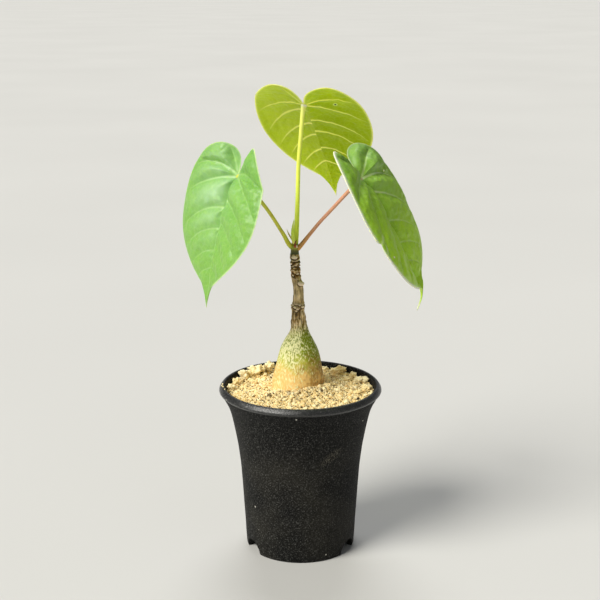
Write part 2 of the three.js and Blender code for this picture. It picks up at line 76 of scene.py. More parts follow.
# Finish of the pot
POT_GRAIN = 0.7
HAZE_TOP = 84                               # the pale haze starts here; the wall above it is left in painted shade
HAZE_FULL = 50                              # and is full from here down
HAZE_PATCHES = 28
SMEAR_PLACE = (16.0, -30.0, 62.5)
SMEAR_SLANT = 34                            # degrees
SMEAR_SLIMNESS = 2.8
SMEAR_REACH = 9
FLECK_SPACING = 8
GLOSSY_RADIUS = (41.9, 42.8)                # the lip turns glossy between these radii
GLOSSY_HEIGHT = (89.5, 90.5)                # and these heights
# the shader's input, its value on the grained wall and on the lip
LIP_POLISH = [("Roughness", 0.62, 0.38), ("Specular IOR Level", 0.1, 0.5), ("Coat Weight", 0, 0.6)]

# Potting mix
MIX_LEVEL = 90.2
MIX_EDGE_DROP = 0.3
MIX_MOUND = 4.4                             # heaped against the plant's front right
MIX_MOUND_TOWARDS = -50                     # degrees
MIX_MOUND_SPREAD = 110                      # square mm
MIX_RADIUS = 40.6
BED_UNDERSIDE = 86.0
# loose granules: name, number of shapes, how fine their faces are, number per square metre,
# smallest and largest radius, seed
STREWN = [("grains", 4, 1, 1.7e6, 0.3, 0.62, 3), ("pebbles", 5, 2, 9.0e4, 0.75, 1.25, 8)]
FULL_TURN = 6.28
PORE_SIZE = 0.5
# larger lumps: x, y, z, radius
LUMPS = [(-31.8, 18.6, 93.2, 2.5), (-25.4, 25.6, 93.0, 3.2), (-21.8, 28.8, 92.8, 2.2),
         (-17.8, 32.0, 93.6, 2.3), (-28.6, 23.2, 91.4, 1.8), (-36.2, 8.6, 92.4, 1.8),
         (-38.4, 0.2, 91.8, 1.4), (-20.4, 24.0, 90.8, 1.6), (23.4, 28.2, 92.2, 2.5),
         (19.2, 32.2, 91.0, 1.6), (29.8, 21.2, 91.5, 2.2), (33.8, 13.1, 91.6, 2.5),
         (37.6, 1.0, 91.0, 1.8), (27.0, 15.0, 90.9, 1.8), (14.6, 34.6, 91.0, 1.5),
         (-14.0, 34.6, 91.6, 1.6), (31.6, -6.4, 90.8, 1.3), (-26.8, -12.0, 90.8, 1.2),
         (8.6, -25.4, 91.0, 1.2), (-9.6, 34.4, 90.6, 1.2)]
# crumbs fallen on the lip: x, y, z, radius
CRUMBS = [(-42.9, -2.6, 94.3, 0.6), (-42.4, -6.6, 94.2, 0.42), (-43.1, -4.6, 94.1, 0.35),
          (-41.2, -10.8, 94.1, 0.4)]
# a dry straw on the mix: start, end, radius
STRAW = ((-36.6, 7.6, 91.6), (-31.4, 12.4, 93.8), 0.4)

# Swollen base and woody stem
STEM_Y = 3.5
BASE_X = -1.2                               # the swollen base where the mix meets it
BASE_RADIUS = 14.3
STEM_SIDES = 144
# height, x of the middle, radius
STEM = [(84, -1.2, 13.8), (87, -1.2, 14.1), (92, -1.2, 14.3), (95.6, -1.1, 14.1),
        (98.8, -1.0, 13.6), (102.3, -0.9, 12.8), (106.4, -0.8, 11.9), (110.4, -0.7, 10.9),
        (114.5, -0.8, 9.6), (118.5, -0.8, 7.7), (121.7, -0.6, 5.7), (124.2, -0.6, 4.8),
        (126.8, -0.7, 4.3), (130.5, -0.9, 3.9), (133.6, -1.0, 3.5), (135.6, -1.0, 3.35),
        (136.9, -1.1, 3.85), (138.3, -1.1, 3.7), (139.6, -1.0, 2.95), (141.5, -0.9, 2.9),
        (145.0, -1.0, 2.85), (148.6, -1.25, 2.75), (150.6, -1.6, 2.75), (152.4, -2.1, 2.6),
        (155.0, -2.7, 2.5), (158.5, -2.8, 2.6), (160.8, -2.8, 2.5), (161.8, -2.8, 2.7),
        (162.8, -2.8, 2.45), (164.6, -3.0, 2.5), (166.6, -3.1, 2.4)]
# knobs and old scars: height, azimuth in degrees, how far it stands out, half height, how pale
STEM_BUMPS = [(150.8, -46, 1.9, 1.5, 0.0), (137.6, -152, 0.6, 1.2, 0.4),
              (138.0, -38, 0.45, 0.9, 0.4), (129.0, 160, 0.5, 2.2, 0.0),
              (143.6, -120, 0.35, 1.4, 0.3), (157.2, -60, 0.3, 1.2, 0.2),
              (146.8, 120, 0.5, 1.6, 0.0), (160.0, -120, 0.25, 0.6, 0.5),
              (154.0, -125, 0.25, 0.7, 0.5), (112.0, -20, 0.35, 7.0, 0.0),
              (101.0, -160, 0.3, 6.0, 0.0)]
# growth rings: height, how far the pale ridge stands out, depth of the crease below it, which is
# darkened as painted shade
GROWTH_RINGS = [(160.4, 0.15, 0.3), (139.2, 0.1, 0.25)]
# oval scars of fallen leaves: height, azimuth, half width, half height, how far it stands out,
# creases below it, darkened as painted shade
LEAF_SCARS = [(165.0, -95, 1.75, 0.95, 0.35, 2), (150.6, -56, 1.4, 1.35, 0.5, 1),
              (138.4, -150, 1.1, 0.6, 0.4, 1), (137.3, -122, 1.0, 0.65, 0.3, 1),
              (136.4, -98, 0.9, 0.6, 0.25, 1), (138.6, -78, 0.7, 0.5, 0.3, 1),
              (137.5, -50, 0.9, 0.7, 0.3, 1), (135.2, -112, 0.6, 0.5, 0.2, 1),
              (161.4, -150, 0.9, 0.6, 0.2, 1), (156.0, -60, 0.8, 0.5, 0.25, 1),
              (155.0, -125, 0.7, 0.5, 0.2, 1)]

# Finish of the bark
SKIN_TOP = 122                              # the smooth skin turns into woody bark from here
BARK_FOOT = 129                             # up to here
NECK_HEIGHT = 125.5
BARK_SPECKLE = 0.7
SKIN_PATCHES = 5
SKIN_WANDER = 5
SKIN_FROM = 88                              # the skin's colours run from this height
SKIN_TO = 168                               # up to this one

# Green stem tip
TIP_SIDES = 64
TIP_X = -3.1
# height, radius
TIP = [(165.9, 2.3), (166.5, 2.35), (168.6, 2.2), (170.4, 2.35), (171.6, 2.2), (172.3, 1.7),
       (172.8, 0.9)]
# slim bud and stipule: start, end, radius
BUD = ((-3.4, 1.4, 172.8), (-3.5, 1.2, 185.6), 1.0)
STIPULE = ((-4.6, 3.6, 174.6), (-7.3, 4.0, 180.2), 0.42)
# red-brown bract and the pale point of the newest bud beside it
BRACT = ((-2.9, 0.9, 170.8), (-1.9, 1.0, 174.8), 0.6)
BUD_POINT = ((-1.6, 1.1, 170.7), (-1.6, 0.8, 172.2), 0.5)

# Petioles
STALK_BLOTCHES = 3
STALK_GRAIN = 0.6
# points along the middle and the radius at each
PETIOLES = {
    "left": [(-4.7, 2.6, 170.6, 1.4), (-6.5, 1.4, 172.9, 1.25), (-8.6, -0.6, 177.4, 1.1),
             (-10.9, -2.4, 181.6, 1.0), (-16.0, -6.2, 190.6, 0.98), (-21.6, -9.8, 199.0, 0.98),
             (-26.4, -12.8, 205.6, 1.0), (-30.5, -15.7, 210.6, 1.2), (-32.0, -16.6, 212.2, 1.45)],
    "middle": [(-2.9, 3.8, 171.2, 1.8), (-2.7, 4.3, 173.7, 1.7), (-2.1, 5.3, 179.2, 1.4),
               (-1.5, 8.0, 195.2, 1.2), (-1.0, 11.4, 213.7, 1.12), (0.1, 14.4, 227.4, 1.1),
               (1.0, 16.6, 238.4, 1.15), (1.6, 17.7, 243.2, 1.4), (1.9, 18.1, 244.8, 1.7)],
    "right": [(-1.2, 3.1, 169.8, 1.4), (0.0, 2.3, 171.2, 1.25), (2.9, -0.1, 175.4, 1.1),
              (5.4, -2.0, 179.0, 1.0), (10.6, -5.8, 186.2, 0.95), (17.4, -10.4, 194.6, 0.95),
              (24.4, -14.6, 203.2, 1.0), (29.6, -17.9, 209.2, 1.2), (31.0, -18.8, 210.5, 1.45)],
}

# Heart-shaped blade, flat, for a midrib of length 1: half outline as four cubic curves from the
# notch at the petiole, round the lobe and the widest point, to the neck and the drip tip
OUTLINE = np.array([
    [(0, -0.03), (0.012, -0.08), (0.02, -0.22), (0.17, -0.22)],
    [(0.17, -0.22), (0.315, -0.22), (0.445, 0.09), (0.445, 0.29)],
    [(0.445, 0.29), (0.445, 0.71), (0.107, 0.78), (0.086, 0.843)],
    [(0.086, 0.843), (0.068, 0.883), (0.018, 0.945), (0, 1)],
])
# last lines across the half blade, past its veins: place on the outline, start on the midrib, arch
NECK_RAYS = [(3, 0.76, 0.06), (4, 1, 0)]
BLADE_THICKNESS = 0.42
BLADE_COLUMNS = 310
BLADE_ROWS = 44

# Each leaf, its first three lines as in the solids. Angles are in degrees, and where a value
# differs by half, -1 is the left half and 1 the right; pairs give left and right.
# at, azimuth, dip, roll: where the blade starts and how it points; length and share of the width
# droop, lobe_bend, lobe_skew: bend along the midrib, of the lobes behind it, and between the halves
# sweep, twist: turn sideways and about the midrib; fold, fold_change, lobe_fold, curl: how far each
# half rises, how that changes towards the tip and the lobes, and how it curls over
# tip_shift: mm sideways at the drip tip
# quilting: mm that the blade swells between its veins; rib: share of the full ridge height
# vein_width: mm at the midrib; lobe_vein: strength of the first vein; vein_show: of all, above
# rim: width in mm and strength of the pale margin; edge: thickness there as a share of the blade's
# slim_tail: share that the drip tip narrows by; hook: mm that it bends
# waxy: half with more painted sheen, a painted highlight that stands in for the sky's reflection on
# the waxy face; flat u and v of the patch, strength
# nicks: place on the outline, width, depth; slits: flat paths
# bulges: flat u and v, width, height, rise
# veins: place where each ends on the outline, start on the midrib, arch
LEAVES = {
    "left": dict(
        at=(-32.2, -16.7, 212.5), azimuth=192, dip=65.5, roll=-15, length=71.5, width=1.02,
        droop=18, lobe_bend=-21, lobe_skew=-88, lobe_fold=(109, 49), sweep=-10, twist=-15,
        fold=(9, 36), fold_change=-10, curl=(29, 20), tip_shift=3.3,
        quilting=2.3, rib=1.0, vein_width=0.68,
        lobe_vein={-1: 0.5, 1: 0.5}, rim={-1: (0.45, 0.8), 1: (0.45, 0.45)}, edge=0.6,
        slim_tail=0.35, hook=0, waxy=(1, 6, 10, 0.56), vein_show={-1: 0.35, 1: 0.9},
        veins={-1: [(0.95, 0, 0), (1.6, 0, 0.12), (1.95, 0, 0.06), (2.14, 0.2, 0.1),
                    (2.32, 0.36, 0.1), (2.5, 0.52, 0.1), (2.72, 0.66, 0.1)],
               1: [(0.9, 0, 0), (1.68, 0, 0.16), (1.97, 0.01, 0.05), (2.2, 0.25, 0.1),
                   (2.36, 0.41, 0.1), (2.55, 0.57, 0.1), (2.76, 0.7, 0.1)]}),
    "middle": dict(
        at=(2.1, 18.3, 245.0), azimuth=76.5, dip=28.5, roll=0, length=75.3, width=1.0,
        droop=43.5, lobe_bend=-32, lobe_skew=13, lobe_fold=(-14, 14), sweep=13, twist=-7,
        fold=(23, 9), fold_change=-12, curl=(22, 9), tip_shift=-0.4,
        quilting=0.8, rib=0.4, vein_width=0.86,
        lobe_vein={-1: 0.6, 1: 0.1}, rim={-1: (0.7, 1), 1: (0.7, 1)}, edge=0.7,
        slim_tail=0.35, hook=0, waxy=(1, 0, 0, 0), vein_show={-1: 1, 1: 1},
        veins={-1: [(0.95, 0, 0), (1.93, 0, 0.07), (2.15, 0.07, 0.07), (2.3, 0.27, 0.08),
                    (2.44, 0.4, 0.08), (2.6, 0.56, 0.06), (2.76, 0.68, 0.06)],
               1: [(0.95, 0, 0), (1.65, 0, 0.2), (1.98, 0, 0.03), (2.2, 0.225, 0.12),
                   (2.34, 0.36, 0.12), (2.52, 0.545, 0.12), (2.74, 0.68, 0.1)]}),
    "right": dict(
        at=(31.2, -18.9, 210.8), azimuth=346, dip=54, roll=30, length=77.7, width=0.98,
        droop=33.5, lobe_bend=136, lobe_skew=-72, lobe_fold=(47, 19), sweep=-10, twist=8,
        fold=(8, 46), fold_change=-1, curl=(41, 36), tip_shift=5.4,
        quilting=1.8, rib=1.0, vein_width=0.68,
        lobe_vein={-1: 0.5, 1: 0.5}, rim={-1: (0.4, 0.35), 1: (0.9, 1)}, edge=1.5,
        slim_tail=0.65, hook=1.9, waxy=(-1, -8, -4, 0.15), vein_show={-1: 1.5, 1: 0.5},
        nicks={1: [(2.066, 0.025, 0.05)]},
        slits={1: [((32.5, 27.2), (29.5, 26.4), (26.4, 25.2)), ((29.3, 29.7), (31.0, 31.9))]},
        bulges={-1: [(-9.5, -4.8, 6.5, 3.6, 1.5)]},
        veins={-1: [(1.3, 0, 0.05), (1.85, 0, 0.1), (2.16, 0.1, 0.08), (2.34, 0.33, 0.1),
                    (2.5, 0.5, 0.1), (2.72, 0.64, 0.1)],
               1: [(1.2, 0, 0.05), (1.75, 0, 0.1), (2.18, 0.01, 0.15), (2.33, 0.3, 0.1),
                   (2.5, 0.48, 0.1), (2.7, 0.63, 0.1)]}),
}
SKEW_WIDTH = 4.0
CURL_WIDTH = 30.0                           # width that curl is given for
TIP_SHIFT_FROM = 0.8                        # share of the midrib

# Finish of the blades
BLADE_CLOUDS = 12
NET_WAVER = 1.6
NET_SPACING = 2.4
PAD_SPACING = 2.8

# Camera of the photograph
CAMERA_PLACE = (-0.2, -647.0, 312.0)
CAMERA_PITCH = 14.75
CAMERA_LENS = 73.8
SENSOR = 36.0

# Lights: name, direction that it shines from, how wide it looks in degrees, strength, colour
LIGHTS = [("window", (-1.35, -1.0, 1.45), 32, 3.6, (1.0, 0.98, 0.92)),
          ("sky", (0.0, 0.9, 1.5), 30, 1.3, (0.98, 0.99, 1.0)),
          ("fill", (1.2, -0.9, 0.9), 40, 0.1, (0.97, 0.98, 1.0))]
FLOOR_REACH = 20.0                          # metres from the middle to each edge


# Helpers

def in_frame(points):
    """Millimetres from the pot's axis to metres in the part's frame."""
    return (np.asarray(points, dtype=float) + POT_AXIS) * MM


def linear(hexadecimal):
    """An sRGB hex colour as linear RGBA."""
    channels = [int(hexadecimal[i:i + 2], 16) / 255 for i in (1, 3, 5)]
    return [c / 12.92 if c <= 0.04045 else ((c + 0.055) / 1.055) ** 2.4 for c in channels] + [1.0]


def add(tree, kind, inputs=None, stops=None, **settings):
    """Adds a node; inputs are values or sockets by name or number, stops are a ramp's colours."""
    node = tree.nodes.new(kind)
    for key, value in settings.items():
        setattr(node, key, value)
    for key, value in (inputs or {}).items():
        socket = node.inputs[key]
        if isinstance(value, bpy.types.NodeSocket):
            tree.links.new(value, socket)
        else:
            socket.default_value = value
    if stops:
        elements = node.color_ramp.elements
        while len(elements) < len(stops):
            elements.new(1.0)
        for element, (place, colour) in zip(elements, stops):
            element.position = place
            element.color = linear(colour)
    return node


def new_material(name):
    """An empty material and its tree."""
    material = bpy.data.materials.new(name)
    material.use_nodes = True
    material.node_tree.nodes.clear()
    return material, material.node_tree


def finished(material, inputs):
    """Ends a material with its shader and output; inputs are the shader's."""
    tree = material.node_tree
    shader = add(tree, "ShaderNodeBsdfPrincipled", inputs)
    add(tree, "ShaderNodeOutputMaterial", {"Surface": shader.outputs["BSDF"]})
    return material


def layered(tree, colour, layers):
    """Lays colours over a first one; a layer is a mask and its colour as hex or a socket."""
    for mask, over in layers:
        over = linear(over) if isinstance(over, str) else over
        colour = add(tree, "ShaderNodeMix", {0: mask, 6: colour, 7: over},
                     data_type="RGBA").outputs[2]
    return colour


def table(rows, x, column, blur=0.0):
    """Reads a column of a table at x, rounded off over the blur distance."""
    keys = [row[0] for row in rows]
    values = [row[column] for row in rows]
    x = np.asarray(x, dtype=float)
    if not blur:
        return np.interp(x, keys, values)
    return sum(weight * np.interp(x + step * blur, keys, values)
               for step, weight in ((-1, 0.15), (-0.5, 0.2), (0, 0.3), (0.5, 0.2), (1, 0.15)))


def ramp(x, start, end, least=0):
    """Rises evenly from 0 at start to 1 at end, and is never under least."""
    return np.clip((x - start) / (end - start), least, 1)


def bell(x, width, power=2):
    """A soft bump: 1 where x is 0, and next to nothing beyond a few widths."""
    return np.exp(-(x / width) ** power)


def angles_round(count):
    """That many angles, evenly round a circle."""
    return np.arange(count) * 2 * math.pi / count


def unit(vectors):
    """Vectors made 1 long."""
    return vectors / np.maximum(np.linalg.norm(vectors, axis=-1), 1e-9)[..., None]


def path_through(points, steps):
    """A smooth curve through rows of numbers."""
    rows = np.asarray(points, dtype=float)
    padded = np.vstack([2 * rows[0] - rows[1], rows, 2 * rows[-1] - rows[-2]])
    where = np.linspace(0, len(rows) - 1, steps)
    part = np.minimum(where.astype(int), len(rows) - 2)
    t = (where - part)[:, None]
    a, b, c, d = (padded[part + i] for i in range(4))
    return 0.5 * (2 * b + (c - a) * t + (2 * a - 5 * b + 4 * c - d) * t ** 2
                  + (3 * b - a - 3 * c + d) * t ** 3)


def roughness_at(points, size, seed=0):
    """Smooth noise between about -1 and 1 at points in mm, with features of that size."""
    sizes = np.broadcast_to(np.asarray(size, dtype=float), (3,))
    scaled = np.asarray(points).reshape(-1, 3) / sizes + seed * 17.3
    return np.array([noise.noise(Vector(p)) for p in scaled]).reshape(np.shape(points)[:-1])


def put_in_scene(name, data):
    """A new object of that data."""
    made = bpy.data.objects.new(name, data)
    bpy.context.scene.collection.objects.link(made)
    return made


def make_piece(name, shape, values=None, weld=0.0, material=None, sharp=None):
    """A closed mesh object from a shape, which is points in mm and faces; values are named
    numbers for every point."""
    points, faces = shape
    mesh = bpy.data.meshes.new(name)
    mesh.from_pydata(in_frame(points).tolist(), [], faces)
    for key, numbers in (values or {}).items():
        numbers = np.asarray(numbers, dtype=np.float32)
        kind = "FLOAT_VECTOR" if numbers.ndim == 2 else "FLOAT"
        layer = mesh.attributes.new(key, kind, "POINT")
        layer.data.foreach_set("vector" if numbers.ndim == 2 else "value", numbers.ravel())
    body = bmesh.new()
    body.from_mesh(mesh)
    if weld:
        bmesh.ops.remove_doubles(body, verts=body.verts, dist=weld * MM)
        bmesh.ops.dissolve_degenerate(body, edges=body.edges, dist=weld * MM)
    bmesh.ops.recalc_face_normals(body, faces=body.faces)
    body.to_mesh(mesh)
    body.free()
    mesh.shade_smooth()
    if sharp:
        mesh.set_sharp_from_angle(angle=math.radians(sharp))
    piece = put_in_scene(name, mesh)
    if material:
        mesh.materials.append(material)
    return piece


def strip_faces(rows, columns, around=True):
    """Quads over a net of rows and columns; around closes each row on itself."""
    last = columns if around else columns - 1
    return [(r * columns + c, r * columns + (c + 1) % columns,
             (r + 1) * columns + (c + 1) % columns, (r + 1) * columns + c)
            for r in range(rows - 1) for c in range(last)]


def joined(bodies):
    """Points and faces of several bodies as one."""
    points, faces = [], []
    for body_points, body_faces in bodies:
        start = len(points)
        points.extend(body_points)
        faces.extend([tuple(start + i for i in face) for face in body_faces])
    return points, faces


def closed_tube(rings):
    """Points and faces of a body through rings of equal count, closed at both ends."""
    rings = np.asarray(rings)
    rows, columns = rings.shape[:2]
    faces = strip_faces(rows, columns)
    faces.append(tuple(range(columns)))
    faces.append(tuple(range((rows - 1) * columns, rows * columns)))
    return rings.reshape(-1, 3), faces


# Materials

def pot_plastic():
    """Injection-moulded black polypropylene: charcoal, matte with a fine spark-eroded grain,
    a little dust in it, a paler haze low on the wall that leaves the top under the lip in
    painted shade, and a satin lip that hands have rubbed smoother."""
    material, tree = new_material("moulded_black_polypropylene")
    place = add(tree, "ShaderNodeTexCoord").outputs["Object"]
    grain = add(tree, "ShaderNodeTexNoise", {"Vector": place, "Scale": 1 / (POT_GRAIN * MM),
                                             "Detail": 2.0, "Roughness": 0.6}).outputs["Fac"]
    tint = add(tree, "ShaderNodeValToRGB", {"Fac": grain},
               [(0.38, "#070706"), (0.5, "#151514"), (0.6, "#2c2c2a"), (0.72, "#545451")])
    colour = layered(tree, tint.outputs["Color"],
                     [(dust_and_shade_on_pot(tree, place, grain), "#a39c88"),
                      (flecks_on_pot(tree, place), "#c4c1b6")])
    lip = outside_of_lip(tree, place)
    polish = {socket: add(tree, "ShaderNodeMapRange", {"Value": lip, "To Min": wall,
                                                       "To Max": rubbed}).outputs["Result"]
              for socket, wall, rubbed in LIP_POLISH}
    bump = add(tree, "ShaderNodeBump", {"Height": grain, "Strength": 0.8,
                                        "Distance": 0.3 * MM}).outputs["Normal"]
    return finished(material, {"Base Color": colour, **polish, "Coat Roughness": 0.3, "IOR": 1.49,
                               "Normal": bump, "Coat Normal": bump})


def dust_and_shade_on_pot(tree, place, grain):
    """Mask of a thin pale haze low on the wall, so that the wall under the lip is left in
    painted shade, and of one slanting dust smear on the front that is caught on the grain."""
    height = add(tree, "ShaderNodeSeparateXYZ", {"Vector": place}).outputs["Z"]
    low = add(tree, "ShaderNodeMapRange", {"Value": height, "From Min": HAZE_TOP * MM,
                                           "From Max": HAZE_FULL * MM, "To Max": 0.045})
    cloud = add(tree, "ShaderNodeTexNoise", {"Vector": place, "Scale": 1 / (HAZE_PATCHES * MM),
                                             "Detail": 4.0})
    haze = add(tree, "ShaderNodeMapRange", {"Value": cloud.outputs["Fac"], "From Min": 0.4,
                                            "From Max": 0.7, "To Max": low.outputs["Result"]})
    shifted = add(tree, "ShaderNodeVectorMath", {0: place, 1: in_frame(SMEAR_PLACE)},
                  operation="SUBTRACT")
    turned = add(tree, "ShaderNodeVectorRotate", {"Vector": shifted.outputs["Vector"],
                                                  "Angle": math.radians(SMEAR_SLANT)},
                 rotation_type="Y_AXIS")
    slim = add(tree, "ShaderNodeVectorMath", {0: turned.outputs["Vector"],
                                              1: (1, 1, SMEAR_SLIMNESS)}, operation="MULTIPLY")
    away = add(tree, "ShaderNodeVectorMath", {0: slim.outputs["Vector"]}, operation="LENGTH")
    smear = add(tree, "ShaderNodeMapRange", {"Value": away.outputs["Value"],
                                             "From Min": SMEAR_REACH * MM, "From Max": 1 * MM,
                                             "To Max": 0.3})
    caught = add(tree, "ShaderNodeMapRange", {"Value": grain, "From Min": 0.44, "From Max": 0.6})
    dust = add(tree, "ShaderNodeMath", {0: smear.outputs["Result"], 1: caught.outputs["Result"],
                                        2: haze.outputs["Result"]}, operation="MULTIPLY_ADD")
    return dust.outputs["Value"]


def flecks_on_pot(tree, place):
    """Mask of a few pale crumbs of the mix that stick to the wall."""
    cells = add(tree, "ShaderNodeTexVoronoi", {"Vector": place, "Scale": 1 / (FLECK_SPACING * MM)})
    fleck = add(tree, "ShaderNodeMapRange", {"Value": cells.outputs["Distance"],
                                             "From Min": 0.07, "From Max": 0.04})
    rare = add(tree, "ShaderNodeMath", {0: cells.outputs["Color"], 1: 0.7},
               operation="GREATER_THAN")
    flecks = add(tree, "ShaderNodeMath", {0: fleck.outputs["Result"], 1: rare.outputs["Value"]},
                 operation="MULTIPLY")
    return flecks.outputs["Value"]


def outside_of_lip(tree, place):
    """Mask of the lip's outside, which is glossier than the grained wall."""
    centred = add(tree, "ShaderNodeVectorMath", {0: place, 1: in_frame((0, 0, 0))},
                  operation="SUBTRACT")
    level = add(tree, "ShaderNodeVectorMath", {0: centred.outputs["Vector"], 1: (1, 1, 0)},
                operation="MULTIPLY")
    radius = add(tree, "ShaderNodeVectorMath", {0: level.outputs["Vector"]}, operation="LENGTH")
    height = add(tree, "ShaderNodeSeparateXYZ", {"Vector": place}).outputs["Z"]
    lip = 1.0
    for value, (start, end) in ((radius.outputs["Value"], GLOSSY_RADIUS),
                                (height, GLOSSY_HEIGHT)):
        lip = add(tree, "ShaderNodeMapRange", {"Value": value, "From Min": start * MM,
                                               "From Max": end * MM,
                                               "To Max": lip}).outputs["Result"]
    return lip


def granule_stone(name, stops):
    """Crushed pumice and akadama: dry, chalky, each granule its own straw, tan or grey, with
    pores too small to see one by one."""
    material, tree = new_material(name)
    place = add(tree, "ShaderNodeTexCoord").outputs["Object"]
    tone = add(tree, "ShaderNodeAttribute", attribute_name="tone")
    pores = add(tree, "ShaderNodeTexNoise", {"Vector": place, "Scale": 1 / (PORE_SIZE * MM),
                                             "Detail": 3.0})
    tint = add(tree, "ShaderNodeValToRGB", {"Fac": tone.outputs["Fac"]}, stops)
    shade = add(tree, "ShaderNodeMapRange", {"Value": pores.outputs["Fac"], "From Min": 0.3,
                                             "From Max": 0.7, "To Min": 0.85, "To Max": 1.1})
    dark = add(tree, "ShaderNodeMix", {0: 1.0, 6: tint.outputs["Color"],
                                       7: shade.outputs["Result"]},
               data_type="RGBA", blend_type="MULTIPLY")
    bump = add(tree, "ShaderNodeBump", {"Height": pores.outputs["Fac"], "Strength": 0.5,
                                        "Distance": 0.2 * MM})
    return finished(material, {"Base Color": dark.outputs[2], "Roughness": 0.92,
                               "Specular IOR Level": 0.25, "Normal": bump.outputs["Normal"]})


def caudex_bark():
    """Living bark: a thin green skin mottled over ochre cork on the swollen base, olive then
    grey-brown flaking bark on the stem, with cream corky scars where leaves have dropped."""
    material, tree = new_material("caudex_bark")
    place = add(tree, "ShaderNodeTexCoord").outputs["Object"]
    height = add(tree, "ShaderNodeSeparateXYZ", {"Vector": place}).outputs["Z"]
    green, rust_and_shade, pale, scar, crack_and_shade = (
        add(tree, "ShaderNodeAttribute", attribute_name=key).outputs["Fac"]
        for key in ("green", "rust_and_shade", "pale", "scar", "crack_and_shade"))
    woody = add(tree, "ShaderNodeMapRange", {"Value": height, "From Min": SKIN_TOP * MM,
                                             "From Max": BARK_FOOT * MM}).outputs["Result"]
    streak = bark_streaks(tree, place, woody)
    # the paler the place, the more of the streaks turn into corky flecks
    crowd = add(tree, "ShaderNodeMath", {0: pale, 1: 0.2, 2: streak}, operation="MULTIPLY_ADD")
    fleck = add(tree, "ShaderNodeMapRange", {"Value": crowd.outputs["Value"], "From Min": 0.58,
                                             "From Max": 0.72}).outputs["Result"]
    cork = layered(tree, linear("#faf6ba"), [(woody, "#f8dcae")])
    # painted shade: the low places of the streaky bump are darkened, partly dark bark and partly
    # shade
    darkest = add(tree, "ShaderNodeMapRange", {"Value": woody, "To Min": 0.08, "To Max": 0.7})
    groove_shade = add(tree, "ShaderNodeMapRange", {"Value": streak, "From Min": 0.5, "From Max": 0.36,
                                              "To Max": darkest.outputs["Result"]})
    colour = layered(tree, skin_by_height(tree, place, height),
                     # painted shade: the rusty layer also darkens the side of the base away from
                     # the light
                     [(green, "#7a8806"), (rust_and_shade, "#b0742e"), (fleck, cork),
                      (groove_shade.outputs["Result"], "#4c3a14"), (scar, "#ffe9cc"),
                      # painted shade: the darkest layer is partly dark cracks and partly shade in
                      # furrows, pits and creases
                      (crack_and_shade, "#1a1409")])
    bump = add(tree, "ShaderNodeBump", {"Height": streak, "Strength": 0.6, "Distance": 0.4 * MM})
    return finished(material, {"Base Color": colour, "Roughness": 0.55, "Specular IOR Level": 0.2,
                               "Normal": bump.outputs["Normal"]})


def bark_streaks(tree, place, woody):
    """Noise that is a fine speckle on the swollen base and long streaks up the woody stem. It is
    stretched along Z about the neck, so that the two run into each other there."""
    neck = add(tree, "ShaderNodeVectorMath", {0: place, 1: in_frame((0, STEM_Y, NECK_HEIGHT))},
               operation="SUBTRACT").outputs["Vector"]
    speckle = add(tree, "ShaderNodeMapping", {"Vector": neck, "Scale": (1.0, 1.0, 0.38)})
    long = add(tree, "ShaderNodeMapping", {"Vector": neck, "Scale": (0.6, 0.6, 0.16)})
    stretched = add(tree, "ShaderNodeMix", {0: woody, 4: speckle.outputs["Vector"],
                                            5: long.outputs["Vector"]}, data_type="VECTOR")
    streak = add(tree, "ShaderNodeTexNoise", {"Vector": stretched.outputs[1],
                                              "Scale": 1 / (BARK_SPECKLE * MM), "Detail": 3.0,
                                              "Roughness": 0.6})
    return streak.outputs["Fac"]


def skin_by_height(tree, place, height):
    """Colour of the skin from the mix up to the green tip, its borders wandering a few mm."""
    broad = add(tree, "ShaderNodeTexNoise", {"Vector": place, "Scale": 1 / (SKIN_PATCHES * MM),
                                             "Detail": 5.0, "Roughness": 0.65})
    wander = add(tree, "ShaderNodeMapRange", {"Value": broad.outputs["Fac"], "From Min": 0.25,
                                              "From Max": 0.75, "To Min": -SKIN_WANDER * MM,
                                              "To Max": SKIN_WANDER * MM})
    level = add(tree, "ShaderNodeMath", {0: height, 1: wander.outputs["Result"]},
                operation="ADD")
    share = add(tree, "ShaderNodeMapRange", {"Value": level.outputs["Value"],
                                             "From Min": SKIN_FROM * MM,
                                             "From Max": SKIN_TO * MM})
    skin = add(tree, "ShaderNodeValToRGB", {"Fac": share.outputs["Result"]},
               [(0.0, "#f8c678"), (0.1, "#fad082"), (0.19, "#f2ca74"), (0.25, "#d4cc54"),
                (0.34, "#b0c430"), (0.4, "#a8b434"), (0.46, "#c0a650"), (0.52, "#d8ae68"),
                (0.6, "#dab478"), (0.68, "#dcc08c"), (0.78, "#dcc090"), (0.83, "#b0803c"),
                (0.93, "#9c7430"), (1.0, "#7c6a24")])
    return skin.outputs["Color"]


def living_stalk(name, stops, blotch):
    """Fresh petiole: smooth, waxy and slightly see-through, coloured along its length, with
    soft blotches and a faint fine relief."""
    material, tree = new_material(name)
    place = add(tree, "ShaderNodeTexCoord").outputs["Object"]
    along = add(tree, "ShaderNodeAttribute", attribute_name="along")
    cloud = add(tree, "ShaderNodeTexNoise", {"Vector": place, "Scale": 1 / (STALK_BLOTCHES * MM),
                                             "Detail": 4.0})
    tint = add(tree, "ShaderNodeValToRGB", {"Fac": along.outputs["Fac"]}, stops)
    patch = add(tree, "ShaderNodeMapRange", {"Value": cloud.outputs["Fac"], "From Min": 0.5,
                                             "From Max": 0.72, "To Max": 0.45})
    colour = layered(tree, tint.outputs["Color"], [(patch.outputs["Result"], blotch)])
    fine = add(tree, "ShaderNodeTexNoise", {"Vector": place, "Scale": 1 / (STALK_GRAIN * MM),
                                            "Detail": 2.0})
    bump = add(tree, "ShaderNodeBump", {"Height": fine.outputs["Fac"], "Strength": 0.3,
                                        "Distance": 0.15 * MM})
    return finished(material, {"Base Color": colour, "Roughness": 0.42, "Subsurface Weight": 0.3,
                               "Subsurface Radius": (1.0, 0.9, 0.3),
                               "Subsurface Scale": 1.2 * MM, "Normal": bump.outputs["Normal"]})


